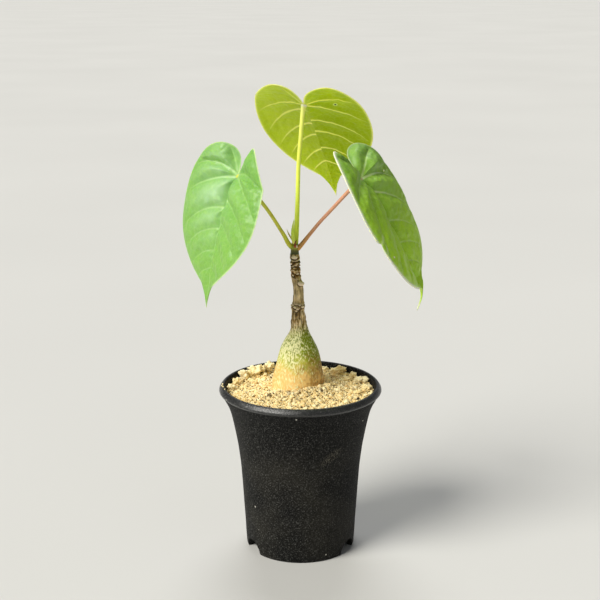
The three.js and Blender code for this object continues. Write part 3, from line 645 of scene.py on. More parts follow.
def leaf_blade(name, upper, under, sheen, tip, glow, depth, gloss, specks=(), lit_half_colour=None):
    """Soft leaf blade: waxy and quilted above, duller below, with pale raised veins, a net of
    fine veins about 2 mm apart, a pale thin margin, warmer towards its tip, and light passing
    through it (glow, and how deep in mm). Upper and under are a darker and a lighter green, the
    veins and the margin. Sheen is the colour of a painted highlight on the upper face. Specks are
    small marks: flat u and v, radius, colour. The last colour, if given, paints the left half
    lighter: painted light, as where more light falls on it."""
    material, tree = new_material(name)
    flat = add(tree, "ShaderNodeAttribute", attribute_name="flat").outputs["Vector"]
    above, vein, margin, wax = (add(tree, "ShaderNodeAttribute", attribute_name=key)
                                .outputs["Fac"] for key in ("above", "vein", "margin", "wax"))
    cloud = add(tree, "ShaderNodeTexNoise", {"Vector": flat, "Scale": 1 / (BLADE_CLOUDS * MM),
                                             "Detail": 4.0, "Roughness": 0.5})
    fine_vein, normal = net_of_veins(tree, flat, cloud.outputs["Color"])
    axes = add(tree, "ShaderNodeSeparateXYZ", {"Vector": flat}).outputs
    warmer = add(tree, "ShaderNodeMapRange", {"Value": axes["Y"], "From Min": -12 * MM,
                                              "From Max": 45 * MM, "To Max": 0.8})
    # painted light: the left half is made paler, as where more light falls on it
    painted_lit_half = add(tree, "ShaderNodeMapRange", {"Value": axes["X"], "From Min": 4 * MM,
                                              "From Max": -22 * MM,
                                              "To Max": 0.42 if lit_half_colour else 0.0})
    faces = []
    for dark, light, veins, edge in (under, upper):
        green = add(tree, "ShaderNodeValToRGB", {"Fac": cloud.outputs["Fac"]},
                    [(0.35, dark), (0.65, light)])
        faces.append(layered(tree, green.outputs["Color"],
                             [(warmer.outputs["Result"], tip),
                              (painted_lit_half.outputs["Result"], lit_half_colour or light), (fine_vein, veins),
                              (vein, veins), (margin, edge)]))
    # the sheen colour is laid over the upper face as a painted highlight
    marks = [(above, faces[1]), (wax, sheen)]
    for u, v, radius, mark in specks:
        away = add(tree, "ShaderNodeVectorMath", {0: flat, 1: (u * MM, v * MM, 0)},
                   operation="DISTANCE")
        speck = add(tree, "ShaderNodeMapRange", {"Value": away.outputs["Value"],
                                                 "From Min": radius * MM,
                                                 "From Max": 0.5 * radius * MM})
        marks.append((speck.outputs["Result"], mark))
    return finished(material, {"Base Color": layered(tree, faces[0], marks), "Normal": normal,
                               "Roughness": 0.42, "Specular IOR Level": gloss,
                               "Subsurface Weight": glow, "Subsurface Radius": (0.9, 1.0, 0.12),
                               "Subsurface Scale": depth * MM})


def net_of_veins(tree, flat, cloud):
    """The net of fine veins as a mask, and the normal of a blade that swells softly between
    them."""
    bent = add(tree, "ShaderNodeMix", {0: NET_WAVER * MM, 4: flat, 5: cloud},
               data_type="VECTOR").outputs[1]
    net = add(tree, "ShaderNodeTexVoronoi", {"Vector": bent, "Scale": 1 / (NET_SPACING * MM)},
              feature="DISTANCE_TO_EDGE")
    fine_vein = add(tree, "ShaderNodeMapRange", {"Value": net.outputs["Distance"],
                                                 "From Min": 0.12, "From Max": 0.02,
                                                 "To Max": 0.08})
    pads = add(tree, "ShaderNodeTexVoronoi", {"Vector": bent, "Scale": 1 / (PAD_SPACING * MM),
                                              "Smoothness": 0.8}, feature="SMOOTH_F1")
    raised = add(tree, "ShaderNodeMapRange", {"Value": pads.outputs["Distance"],
                                              "From Min": 0.8, "From Max": 0.05},
                 interpolation_type="SMOOTHSTEP")
    bump = add(tree, "ShaderNodeBump", {"Height": raised.outputs["Result"], "Strength": 0.6,
                                        "Distance": 0.5 * MM})
    return fine_vein.outputs["Result"], bump.outputs["Normal"]


# Stalks: colours along the length and the colour of their blotches
STALK_LOOKS = {
    "green_node": ([(0.0, "#343808"), (0.25, "#4a4e0c"), (0.42, "#6a6412"), (0.6, "#a4a41e"),
                    (1.0, "#c4d034")], "#7a6a1c"),
    "lime_bud": ([(0.0, "#f6dc8c"), (0.2, "#eaf468"), (0.5, "#e4ff50"), (1.0, "#f6ffa0")],
                 "#d0ee3c"),
    "dry_stipule": ([(0.0, "#e8c8a8"), (1.0, "#fbe6da")], "#d8a890"),
    "red_bract": ([(0.0, "#9c3a10"), (0.5, "#94440e"), (1.0, "#a0942c")], "#6c2c0c"),
    "yellow_petiole": ([(0.0, "#94a414"), (0.12, "#d0d02c"), (0.5, "#e2de48"),
                        (1.0, "#d8e254")], "#c8a440"),
    "pale_petiole": ([(0.0, "#c8e020"), (0.12, "#e8ff50"), (0.55, "#f2fc68"),
                      (0.88, "#f6fa8c"), (0.94, "#fbfbc8"), (1.0, "#fffff0")], "#e2f05a"),
    "salmon_petiole": ([(0.0, "#c89838"), (0.2, "#cc9450"), (0.5, "#d69a7c"),
                        (1.0, "#e2a48c")], "#c08c5c"),
}
PETIOLE_LOOKS = {"left": "yellow_petiole", "middle": "pale_petiole", "right": "salmon_petiole"}
# sheen is the colour of the painted highlight on each blade's upper face
BLADE_LOOKS = {
    "left": dict(
        name="pale_leaf", upper=("#74ac4a", "#88ba5a", "#c8e4a8", "#dcf0bc"),
        under=("#94b03c", "#a4c048", "#d4e48c", "#e2efb0"), sheen="#cdecc6", tip="#82b44e",
        glow=0.45, depth=0.9, gloss=0.35),
    "middle": dict(
        name="underside_leaf", upper=("#93b82c", "#a2c433", "#c6da6a", "#dcea7a"),
        under=("#a8bc04", "#b8ca0a", "#f8fc88", "#f6ff9c"), sheen="#9ab53a", tip="#a0b206",
        # painted light: the last colour here makes the left half paler, as where more light falls
        glow=1.0, depth=1.3, gloss=0.15, lit_half_colour="#d4e43c",
        specks=((16.3, 3.3, 1.5, "#dcea90"), (16.3, 3.3, 0.75, "#20240c"))),
    "right": dict(
        name="dark_leaf", upper=("#6a9828", "#80ac32", "#d2e6a0", "#fdfee6"),
        under=("#8aa63c", "#9ab546", "#c4d884", "#e8f2bc"), sheen="#b4dba4", tip="#bce42c",
        glow=0.4, depth=0.9, gloss=0.3,
        specks=((-19.3, 3.4, 0.7, "#f0f6d0"), (28.3, 35.5, 0.6, "#f0f6d0"))),
}


def studio_paper():
    """Pale matte paper for the floor."""
    material, tree = new_material("pale_paper")
    place = add(tree, "ShaderNodeTexCoord").outputs["Object"]
    cloud = add(tree, "ShaderNodeTexNoise", {"Vector": place, "Scale": 2.0})
    tint = add(tree, "ShaderNodeValToRGB", {"Fac": cloud.outputs["Fac"]},
               [(0.3, "#cbcac6"), (0.7, "#cfceca")])
    return finished(material, {"Base Color": tint.outputs["Color"], "Roughness": 0.9})


# Pot

def pot_profile():
    """Half section of the pot: radius and height, from the middle of the floor's underside round
    the foot, the wall and the lip to the middle of the floor."""
    foot_radius = POT_WALL[0][1]
    foot = [(0, FLOOR_UNDERSIDE), (FOOT_INNER_RADIUS - 1, FLOOR_UNDERSIDE),
            (FOOT_INNER_RADIUS + 0.4, FLOOR_UNDERSIDE - 0.6),
            (FOOT_INNER_RADIUS + 0.1, FOOT_ROUNDING), (FOOT_INNER_RADIUS + FOOT_ROUNDING, 0),
            (foot_radius - FOOT_ROUNDING, 0), (foot_radius - 0.1, 0.3)]
    wall = [(table(POT_WALL, z, 1, 2.5), z) for z in np.linspace(1.2, 87.0, 80)]
    lip = path_through(LIP_ROOT + [(r, POT_HEIGHT - depth) for r, depth in LIP], 40)
    inner_rows = sorted((z, table(POT_WALL, z, 1, 2.5) - WALL_THICKNESS) for z in INNER_LEVELS)
    inner = [(table(inner_rows, z, 1, 2.0), z) for z in np.linspace(88.5, 12.0, 60)]
    floor = [*FLOOR_FILLET, (0, FLOOR_UNDERSIDE + FLOOR_THICKNESS)]
    return np.array([*foot, *wall, *lip, *inner, *floor])


def turned(profile, segments):
    """Points and faces of a profile turned about the pot's axis."""
    angles = angles_round(segments)
    around = np.stack([np.cos(angles), np.sin(angles)], 1)
    points = [np.append(around * r, np.full((segments, 1), z), 1) for r, z in profile]
    return np.concatenate(points), strip_faces(len(profile), segments)


def notch_cutters():
    """The arches cut through the foot and the drain holes in the floor, as one body each."""
    cutters = []
    half = NOTCH_WIDTH / 2
    bow = [(half * math.cos(a), NOTCH_HEIGHT * math.sin(a)) for a in np.linspace(0, math.pi, 25)]
    arch = [(half, -1.0), *bow, (-half, -1.0)]
    for angle in NOTCH_ANGLES:
        turn = math.radians(angle)
        out = np.array([math.cos(turn), math.sin(turn), 0])
        side = np.array([-out[1], out[0], 0])
        cutters.append([[out * r + side * s + (0, 0, z) for s, z in arch] for r in NOTCH_CUT])
    for i in range(DRAIN_HOLES + 1):
        turn = i * 2 * math.pi / DRAIN_HOLES
        reach = DRAIN_HOLE_CIRCLE if i < DRAIN_HOLES else 0
        circle = [(reach * math.cos(turn) + DRAIN_HOLE_RADIUS * math.cos(a),
                   reach * math.sin(turn) + DRAIN_HOLE_RADIUS * math.sin(a))
                  for a in angles_round(32)]
        cutters.append([[(x, y, z) for x, y in circle] for z in DRAIN_HOLE_CUT])
    return [closed_tube(rings) for rings in cutters]


def make_pot(material):
    pot = make_piece("pot_shell", turned(pot_profile(), POT_SEGMENTS), weld=0.001,
                     material=material)
    cutter = make_piece("notch_cutter", joined(notch_cutters()), material=material)
    cut = pot.modifiers.new("notches", "BOOLEAN")
    cut.object = cutter
    cut.operation = "DIFFERENCE"
    cut.solver = "EXACT"
    shell = as_mesh(pot)
    pot.modifiers.remove(cut)
    pot.data = shell
    shell.set_sharp_from_angle(angle=math.radians(40))
    bpy.data.objects.remove(cutter)
    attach(pot, "root")
    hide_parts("pot")


def as_mesh(piece):
    """The piece with its modifiers applied, as a plain mesh."""
    graph = bpy.context.evaluated_depsgraph_get()
    return bpy.data.meshes.new_from_object(piece.evaluated_get(graph),
                                           preserve_all_data_layers=True, depsgraph=graph)


# Potting mix

def mix_height(x, y):
    """A mound against one side of the plant, heaped up under each lump."""
    from_plant = np.hypot(x - BASE_X, y - STEM_Y) - BASE_RADIUS
    side = 0.5 + 0.5 * np.cos(angle_from(np.arctan2(y - STEM_Y, x - BASE_X), MIX_MOUND_TOWARDS))
    heap = np.zeros_like(x)
    for lump_x, lump_y, lump_z, r in LUMPS:
        near = bell(np.hypot(x - lump_x, y - lump_y), r)
        heap = np.maximum(heap, (lump_z - 0.75 * r - MIX_LEVEL) * near)
    mound = MIX_MOUND * side * np.exp(-from_plant ** 2 / MIX_MOUND_SPREAD)
    return MIX_LEVEL - MIX_EDGE_DROP + mound + heap


def make_bed(material):
    """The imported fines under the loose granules: a rough top and a plain skirt and bottom."""
    rows, columns = 70, 200
    angles = angles_round(columns)
    reach = np.linspace(0.02, 1, rows)[:, None] * MIX_RADIUS
    x, y = reach * np.cos(angles), reach * np.sin(angles)
    z = mix_height(x, y)
    top = np.stack([x, y, z], 2)
    rough = roughness_at(top, 1.6, 1) * 0.5 + roughness_at(top, 4.0, 2) * 0.35
    top[:, :, 2] += rough - 0.2
    skirt = top[-1] * (1, 1, 0) + (0, 0, BED_UNDERSIDE)
    points, faces = closed_tube(np.concatenate([top, skirt[None]]))
    tone = 0.55 + 0.3 * roughness_at(points, 1.0, 3)
    return make_piece("mix_bed", (points, faces), {"tone": tone}, material=material,
                      sharp=50)


def scatter_tree(name, shapes, faces_level):
    """Geometry nodes that strew granules over the upward faces of a surface. Inputs: granules
    per square metre, smallest and largest radius, seed, material."""
    tree = bpy.data.node_groups.new(name, "GeometryNodeTree")
    tree.interface.new_socket("Geometry", in_out="OUTPUT", socket_type="NodeSocketGeometry")
    for label, kind in (("Surface", "Geometry"), ("Density", "Float"), ("Smallest", "Float"),
                        ("Largest", "Float"), ("Seed", "Int"), ("Stone", "Material")):
        tree.interface.new_socket(label, in_out="INPUT", socket_type=f"NodeSocket{kind}")
    given = add(tree, "NodeGroupInput").outputs
    facing = add(tree, "ShaderNodeSeparateXYZ",
                 {"Vector": add(tree, "GeometryNodeInputNormal").outputs["Normal"]})
    upward = add(tree, "FunctionNodeCompare", {0: facing.outputs["Z"], 1: 0.25},
                 operation="GREATER_THAN")
    strewn = add(tree, "GeometryNodeDistributePointsOnFaces",
                 {"Mesh": given["Surface"], "Selection": upward.outputs["Result"],
                  "Density": given["Density"], "Seed": given["Seed"]})
    stones = chipped_stones(tree, shapes, faces_level)
    which = add(tree, "FunctionNodeRandomValue", {4: 0, 5: shapes - 1, "Seed": 5},
                data_type="INT")
    turn = add(tree, "FunctionNodeRandomValue", {0: (0, 0, 0), 1: (FULL_TURN,) * 3, "Seed": 6},
               data_type="FLOAT_VECTOR")
    size = add(tree, "FunctionNodeRandomValue", {2: given["Smallest"], 3: given["Largest"],
                                                 "Seed": 7})
    lift = add(tree, "FunctionNodeRandomValue", {0: (0, 0, -0.2 * MM), 1: (0, 0, 0.5 * MM),
                                                 "Seed": 8}, data_type="FLOAT_VECTOR")
    raised = add(tree, "GeometryNodeSetPosition", {"Geometry": strewn.outputs["Points"],
                                                   "Offset": lift.outputs[0]})
    laid = add(tree, "GeometryNodeInstanceOnPoints",
               {"Points": raised.outputs["Geometry"], "Instance": stones,
                "Pick Instance": True, "Instance Index": which.outputs[2],
                "Rotation": turn.outputs[0], "Scale": size.outputs[1]})
    tone = add(tree, "FunctionNodeRandomValue", {2: 0.0, 3: 1.0, "Seed": 9})
    toned = add(tree, "GeometryNodeStoreNamedAttribute",
                {"Geometry": laid.outputs["Instances"], "Name": "tone",
                 "Value": tone.outputs[1]}, data_type="FLOAT", domain="INSTANCE")
    real = add(tree, "GeometryNodeRealizeInstances", {"Geometry": toned.outputs["Geometry"]})
    painted = add(tree, "GeometryNodeSetMaterial", {"Geometry": real.outputs["Geometry"],
                                                    "Material": given["Stone"]})
    add(tree, "NodeGroupOutput", {0: painted.outputs["Geometry"]})
    return tree


def chipped_stones(tree, shapes, faces_level):
    """A few chipped stones of radius 1 to pick from, each pushed out of round by its own noise."""
    stones = add(tree, "GeometryNodeGeometryToInstance")
    for shape in range(shapes):
        ball = add(tree, "GeometryNodeMeshIcoSphere", {"Radius": 1.0,
                                                       "Subdivisions": faces_level})
        rough = add(tree, "ShaderNodeTexNoise", {"W": 3.7 * shape, "Scale": 1.1, "Detail": 1.0},
                    noise_dimensions="4D")
        push = add(tree, "ShaderNodeVectorMath", {0: rough.outputs["Color"],
                                                  1: (-0.5, -0.5, -0.5)}, operation="ADD")
        scaled = add(tree, "ShaderNodeVectorMath", {0: push.outputs["Vector"],
                                                    1: (2.4, 2.4, 2.0)}, operation="MULTIPLY")
        chipped = add(tree, "GeometryNodeSetPosition", {"Geometry": ball.outputs["Mesh"],
                                                        "Offset": scaled.outputs["Vector"]})
        tree.links.new(chipped.outputs["Geometry"], stones.inputs["Geometry"])
    return stones.outputs["Instances"]


def strew(name, surface, tree, values):
    """Strews granules over a surface and returns them as one plain piece. Values are the tree's
    inputs by name."""
    host = put_in_scene(name, surface.data.copy())
    spread = host.modifiers.new("strew", "NODES")
    spread.node_group = tree
    for item in tree.interface.items_tree:
        if item.in_out == "INPUT" and item.name in values:
            spread[item.identifier] = values[item.name]
    grains = as_mesh(host)
    host.modifiers.remove(spread)
    host.data = grains
    keep_mix_clear(grains)
    return host


def keep_mix_clear(mesh):
    """Takes out whole granules that reach into the pot's wall or the swollen base."""
    body = bmesh.new()
    body.from_mesh(mesh)
    wall = (MIX_RADIUS + 0.35) * MM
    trunk = (BASE_RADIUS - 0.9) * MM
    middle = in_frame((0, 0, 0))
    stem = in_frame((BASE_X, STEM_Y, 0))
    bad = [v for v in body.verts
           if math.hypot(v.co.x - middle[0], v.co.y - middle[1]) > wall
           or math.hypot(v.co.x - stem[0], v.co.y - stem[1]) < trunk]
    while bad:
        linked = {edge.other_vert(v) for v in bad for edge in v.link_edges} - set(bad)
        if not linked:
            break
        bad = list(set(bad) | linked)
    bmesh.ops.delete(body, geom=bad, context="VERTS")
    body.to_mesh(mesh)
    body.free()


def chipped_lump(index, x, y, z, r):
    """Points and faces of one coarse lump: a ball knocked out of round and chipped."""
    ball = bmesh.new()
    bmesh.ops.create_icosphere(ball, subdivisions=4 if r > 1 else 2, radius=1.0)
    shape = np.array([v.co[:] for v in ball.verts])
    faces = [tuple(v.index for v in face.verts) for face in ball.faces]
    ball.free()
    chips = 1 + 0.8 * roughness_at(shape, 0.7, index) + 0.42 * roughness_at(shape, 0.28, index)
    stretch = 1 + 0.28 * math.sin(index * 2.4)
    shape = shape * chips[:, None] * r * 1.02 * (stretch, 1, 0.85)
    shape[:, 2] += 0.07 * r
    return shape + (x, y, z), faces


def make_lumps(material):
    lumps = [chipped_lump(index, *lump) for index, lump in enumerate(LUMPS + CRUMBS)]
    tones = [0.15 + 0.45 * ((index * 0.37) % 1)
             for index, (points, faces) in enumerate(lumps) for point in points]
    return make_piece("mix_lumps", joined(lumps), {"tone": tones}, material=material)


def make_straw(material):
    rings, along = tube_along(spindle(*STRAW), steps=30, sides=12)
    return make_piece("mix_straw", closed_tube(rings), {"tone": 0.3 * np.array(along)},
                      material=material)


def make_mix():
    # the bed is dark brown, partly the fines' own colour and partly painted shade in the gaps
    # between granules
    fines = granule_stone("fines_and_gap_shade", [(0.0, "#3a2a12"), (1.0, "#927444")])
    # the last two stops make a few granules dark, partly dark grains and partly painted shade for
    # the gaps
    stone = granule_stone("crushed_pumice",
                          [(0.0, "#fff2c8"), (0.4, "#fdeab4"), (0.7, "#f9dfa0"),
                           (0.86, "#eccb8a"), (0.94, "#dabc84"), (0.965, "#ccbe9a"),
                           (0.982, "#5a4528"), (1.0, "#2c2013")])
    bed = make_bed(fines)
    pieces = [bed]
    for name, shapes, faces_level, density, smallest, largest, seed in STREWN:
        values = {"Density": density, "Smallest": smallest * MM, "Largest": largest * MM,
                  "Seed": seed, "Stone": stone}
        tree = scatter_tree(f"strewn_{name}", shapes, faces_level)
        pieces.append(strew(f"mix_{name}", bed, tree, values))
    pieces += [make_lumps(stone), make_straw(stone)]
    for piece in pieces:
        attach(piece, "root")
    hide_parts("potting_mix")


# Swollen base and woody stem

def angle_from(angle, azimuth):
    """Difference between two angles, between -pi and pi."""
    return np.arctan2(np.sin(angle - math.radians(azimuth)),
                      np.cos(angle - math.radians(azimuth)))


def stem_points(z, angle, radius):
    return np.stack([table(STEM, z, 1, 1.2) + radius * np.cos(angle),
                     STEM_Y + radius * np.sin(angle), z], 2)


def add_knobs(z, angle, skin):
    for height, azimuth, out, half, pale in STEM_BUMPS:
        around = angle_from(angle, azimuth) * table(STEM, height, 2) / (half * 0.9)
        spot = np.exp(-((z - height) / half) ** 2 - around ** 2)
        skin["radius"] += out * spot
        skin["scar"] = np.maximum(skin["scar"], pale * spot)


def add_bark(z, bare, skin):
    """Dents in the smooth base, ridges and furrows on the neck and stem, and flakes and pits
    below the tip. Returns how woody each place is, its pale ridges and its flakes."""
    woody = ramp(z, 123, 128)
    rough = ramp(z, 151, 155) * ramp(z, 164, 162.5)
    striped = woody * ramp(z, 139.5, 136.5, least=0.45) * (1 - rough)
    ribs = roughness_at(bare, (1.1, 1.1, 5.5), 4)
    wrinkles = roughness_at(bare, (0.7, 0.7, 3.2), 37)
    flakes = roughness_at(bare, (1.3, 1.3, 0.9), 5)
    # furrows run where the noises pass just below zero, pits where the flakes dip
    furrow = np.maximum(bell(ribs + 0.1, 0.13), 0.7 * bell(wrinkles + 0.2, 0.12)) * striped
    pit = np.clip(-flakes * 6 - 0.7, 0, 1) * rough
    scar = skin["scar"] * np.clip(0.8 + 1.2 * roughness_at(bare, 0.7, 11), 0, 1)
    skin["scar"] = np.maximum(scar, np.clip(flakes * 4 - 1, 0, 0.6) * rough)
    skin["radius"] += (0.16 * roughness_at(bare, 5.0, 6) * (1 - woody) + 0.6 * ribs * striped
                       + 0.6 * flakes * rough)
    skin["radius"] += 0.07 * roughness_at(bare, (0.8, 0.8, 3.0), 7) * (1 - woody)
    skin["radius"] -= 0.3 * furrow
    stripes = 0.55 * ribs + 0.75 * wrinkles
    valley = np.clip(-stripes * 6 - 0.6, 0, 0.6) * striped
    # painted shade: this dark mask is partly dark bark and partly shade in the furrows and pits
    skin["crack_and_shade"] = np.maximum(np.maximum(0.5 * furrow, valley), 0.8 * pit) * (1 - skin["scar"])
    return woody, striped * np.clip(stripes * 8 + 0.6, 0, 1), flakes


def add_growth_rings(z, angle, flakes, skin):
    """Wavering pale ridges round the stem with a crease below each, darkened as painted shade."""
    for height, out, depth in GROWTH_RINGS:
        wave = height + 0.35 * np.sin(angle * 2 + height) + 0.3 * flakes
        ridge = bell(z - wave, 0.45)
        crease = bell(z - wave + 0.75, 0.28)
        skin["radius"] += out * ridge - depth * crease
        skin["crack_and_shade"] = np.maximum(skin["crack_and_shade"], 0.85 * crease)
        front = np.cos(angle_from(angle, -97) / 2) ** 6
        skin["scar"] = np.maximum(skin["scar"], 0.6 * ridge * front)


def add_leaf_scars(z, angle, skin):
    """Raised pale ovals, each with a crease round its underside, or two with a ridge; the creases
    are darkened as painted shade.
    """
    for height, azimuth, half_width, half_height, rise, creases in LEAF_SCARS:
        across = angle_from(angle, azimuth) * table(STEM, height, 2) / half_width
        # mm outside the oval's edge, measured on the height
        outside = (np.hypot(across, (z - height) / half_height) - 1) * half_height
        inside = np.clip(0.5 - outside / 0.2, 0, 1)
        under = np.clip((height - z) * 1.5 + 0.6, 0, 1)
        dished = 1 - 0.2 * np.clip(-outside / half_height, 0, 1)
        skin["radius"] += rise * inside
        skin["scar"] = np.maximum(skin["scar"], inside * dished)
        skin["crack_and_shade"] *= 1 - inside
        for order in range(creases):
            line = bell(outside - 0.35 - 1.4 * order, 0.32) * under
            ridge = bell(outside - 1.05, 0.25) * under * (order > 0)
            skin["radius"] += 0.2 * ridge - 0.35 * line
            skin["scar"] = np.maximum(skin["scar"] * (1 - line), 0.7 * ridge)
            skin["crack_and_shade"] = np.maximum(skin["crack_and_shade"] * (1 - ridge), 0.95 * line)


def stem_colours(z, angle, bare, woody, ridges):
    """Masks for the bark's finish: green skin, pale flecks, and rusty cork on the right of the
    base, which is also painted shade on the side away from the light.
    """
    cloud = roughness_at(bare, 4.0, 8)
    # the shoulder is greenest high up and on its right, and so is the collar under the tip
    right = np.cos(angle_from(angle, -25))
    green = np.clip((z - 99) / 12 + 0.6 * right + 0.7 * cloud - 0.55, 0, 1)
    green *= ramp(z, 97, 101) * ramp(z - 4 * right, 127, 120)
    collar = bell(z - 162.6, 1.1) * np.clip(np.abs(angle_from(angle, -95)) - 0.5, 0, 1)
    green = np.maximum(green, collar)
    # pale flecks crowd the front of the shoulder and the ridges of the bark
    front = np.clip(2.2 * np.cos(angle_from(angle, -126)) - 0.9, 0.3, 1)
    pale = np.clip((z - 97) / 15, 0.45, 1.3) * ramp(z, 129, 124) * front
    pale = np.clip(pale + 0.35 * cloud * (1 - woody) + ridges, 0, 1)
    # rusty brown cork climbs the right side of the base, partly real colour and partly painted
    # shade on the side away from the light
    rust_and_shade = np.clip(0.8 * np.cos(angle_from(angle, -5)) + 0.35 * cloud
                   + 1.1 * roughness_at(bare, 1.5, 15) - 0.2, 0, 0.6)
    rust_and_shade *= ramp(z - 4 * cloud, 113, 108)
    return {"green": 0.85 * green, "pale": pale, "rust_and_shade": rust_and_shade}


def make_stem(material):
    heights = np.concatenate([np.linspace(STEM[0][0], 120, 110),
                              np.linspace(120.3, STEM[-1][0], 190)])
    z, angle = np.meshgrid(heights, angles_round(STEM_SIDES), indexing="ij")
    radius = table(STEM, z, 2, 0.9)
    radius = radius + 0.09 * ramp(z, 96, 116) * np.sin(3 * angle + z * 0.21)
    radius += 0.012 * radius * np.sin(2 * angle + 0.7)
    skin = {"radius": radius, "scar": np.zeros_like(z)}
    add_knobs(z, angle, skin)
    bare = stem_points(z, angle, skin["radius"])
    woody, ridges, flakes = add_bark(z, bare, skin)
    add_growth_rings(z, angle, flakes, skin)
    add_leaf_scars(z, angle, skin)
    masks = {"scar": skin["scar"], "crack_and_shade": skin["crack_and_shade"],
             **stem_colours(z, angle, bare, woody, ridges)}
    stem = make_piece("stem_and_caudex", closed_tube(stem_points(z, angle, skin["radius"])),
                      {key: mask.ravel() for key, mask in masks.items()},
                      material=material)
    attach(stem, "root")
    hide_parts("caudex_and_stem")


# Green tip and petioles

def tube_along(rows, steps, sides, ribs=0.0):
    """Rings round a smooth path of rows x, y, z, radius, with a dome at each end, and the share
    of the length at each point. Ribs is how far five lengthwise ribs stand out."""
    path = path_through(rows, steps)
    centres, radii = path[:, :3], path[:, 3]
    ahead = unit(np.gradient(centres, axis=0))
    side = unit(np.cross(ahead, (0.0, 1.0, 0.0)))
    up = np.cross(side, ahead)
    angles = angles_round(sides)
    rings, along = [], []
    domes = np.sin(np.linspace(0.15, math.pi / 2, 5))[:-1]
    for i in (0, steps - 1):
        direction = -1 if i == 0 else 1
        cap = [(centres[i] + direction * ahead[i] * radii[i] * 0.6 * math.sqrt(1 - f * f), f)
               for f in domes]
        cap = [(centre, side[i], up[i], radii[i] * f) for centre, f in cap]
        if i == 0:
            rings.extend(cap)
            rings.extend(zip(centres, side, up, radii))
        else:
            rings.extend(reversed(cap))
    count = len(rings)
    points = []
    for place, (centre, s, u, r) in enumerate(rings):
        waved = r * (1 + ribs * np.cos(5 * angles))
        points.append(centre + np.outer(waved * np.cos(angles), s)
                      + np.outer(waved * np.sin(angles), u))
        along.extend([np.clip((place - 4) / (count - 8), 0, 1)] * sides)
    return np.array(points), along


def make_petiole(name, material):
    rings, along = tube_along(PETIOLES[name], steps=110, sides=28, ribs=0.025)
    petiole = make_piece(f"petiole_{name}_stalk", closed_tube(rings), {"along": along},
                         material=material)
    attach(petiole, "root")
    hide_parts(f"petiole_{name}")


def spindle(start, end, radius):
    """Rows of a slim pointed body for a tube."""
    start, end = np.array(start), np.array(end)
    shape = ((0, 0.8), (0.15, 1.0), (0.4, 0.95), (0.65, 0.7), (0.85, 0.4), (1.0, 0.12))
    sway = np.array([-0.7 * radius, 0, 0])
    return [(*(start + (end - start) * t + sway * math.sin(t * math.pi)), radius * f)
            for t, f in shape]


def make_tip(looks):
    heights = np.linspace(TIP[0][0], TIP[-1][0], 50)
    z, angle = np.meshgrid(heights, angles_round(TIP_SIDES), indexing="ij")
    radius = table(TIP, z, 1, 0.4) * (1 + 0.03 * np.cos(3 * angle + 1))
    rings = np.stack([TIP_X + radius * np.cos(angle), STEM_Y + radius * np.sin(angle), z], 2)
    rings += 0.08 * roughness_at(rings, 1.5, 9)[:, :, None] * (1, 1, 0)
    along = np.repeat((heights - heights[0]) / (heights[-1] - heights[0]), TIP_SIDES)
    bodies = [("stem_tip_node", rings, along, "green_node")]
    for name, shape, look in (("bud", BUD, "lime_bud"), ("stipule", STIPULE, "dry_stipule"),
                              ("bract", BRACT, "red_bract"),
                              ("bud_point", BUD_POINT, "dry_stipule")):
        bodies.append((name, *tube_along(spindle(*shape), steps=40, sides=16), look))
    pieces = []
    for name, rings, along, look in bodies:
        pieces.append(make_piece(name, closed_tube(rings), {"along": along},
                                 material=looks[look]))
        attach(pieces[-1], "root")
    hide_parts("stem_tip")


# Leaf blades. Flat coordinates: u to the leaf's right seen from above, v along the midrib

def outline_point(g):
    g = np.atleast_1d(g)
    part = np.minimum(g.astype(int), 3)
    t = g - part
    weights = np.stack([(1 - t) ** 3, 3 * (1 - t) ** 2 * t, 3 * (1 - t) * t ** 2, t ** 3], 1)
    return (weights[:, :, None] * OUTLINE[part]).sum(1)


def ray_rows(side, leaf):
    """The lines across a half blade: place on the outline, start on the midrib, arch."""
    return [(0, 0, 0), *leaf["veins"][side], *NECK_RAYS]


def column_places(side, leaf):
    """Places on the half outline for the net's columns, closer together beside the veins."""
    fine = np.linspace(0, 4, 2001)
    steps = np.linalg.norm(np.diff(outline_point(fine), axis=0), axis=1)
    length = np.append(0, steps.cumsum())
    bounds = [np.interp(row[0], fine, length) for row in ray_rows(side, leaf)]
    places = [0.0]
    for low, high in zip(bounds, bounds[1:]):
        count = max(8, round(BLADE_COLUMNS * (high - low) / length[-1]))
        s = np.linspace(0, 1, count + 1)[1:]
        s = 0.4 * s + 0.6 * (1 - np.cos(math.pi * s)) / 2
        places.extend(low + (high - low) * s)
    return np.interp(places, length, fine)


def flat_point(g, t, side, leaf):
    """The place on the line from the midrib to outline point g, at share t of its length."""
    end = outline_point(g)
    for place, wide, depth in leaf.get("nicks", {}).get(side, []):
        end = end * (1 - depth * bell(g - place, wide))[:, None]
    end_u, end_v = end[:, :1], end[:, 1:]
    rows = ray_rows(side, leaf)
    start = table(rows, g, 1)[:, None]
    arch = table(rows, g, 2)[:, None] * 4 * t * (1 - t) * np.minimum(1, end_u / 0.2)
    u = np.maximum(0, end_u * t + 0.5 * arch * (end_v - start))
    v = start + (end_v - start) * t - arch * end_u
    u = u * (1 - leaf["slim_tail"] * np.clip((v - TIP_SHIFT_FROM) / 0.1, 0, 1))
    return side * u * leaf["length"] * leaf["width"], v * leaf["length"]


def arc(a):
    """How far a bend through a carries ahead and sideways, for a unit of length."""
    a = np.where(np.abs(a) < 1e-6, 1e-6, a)
    return np.sin(a) / a, (1 - np.cos(a)) / a


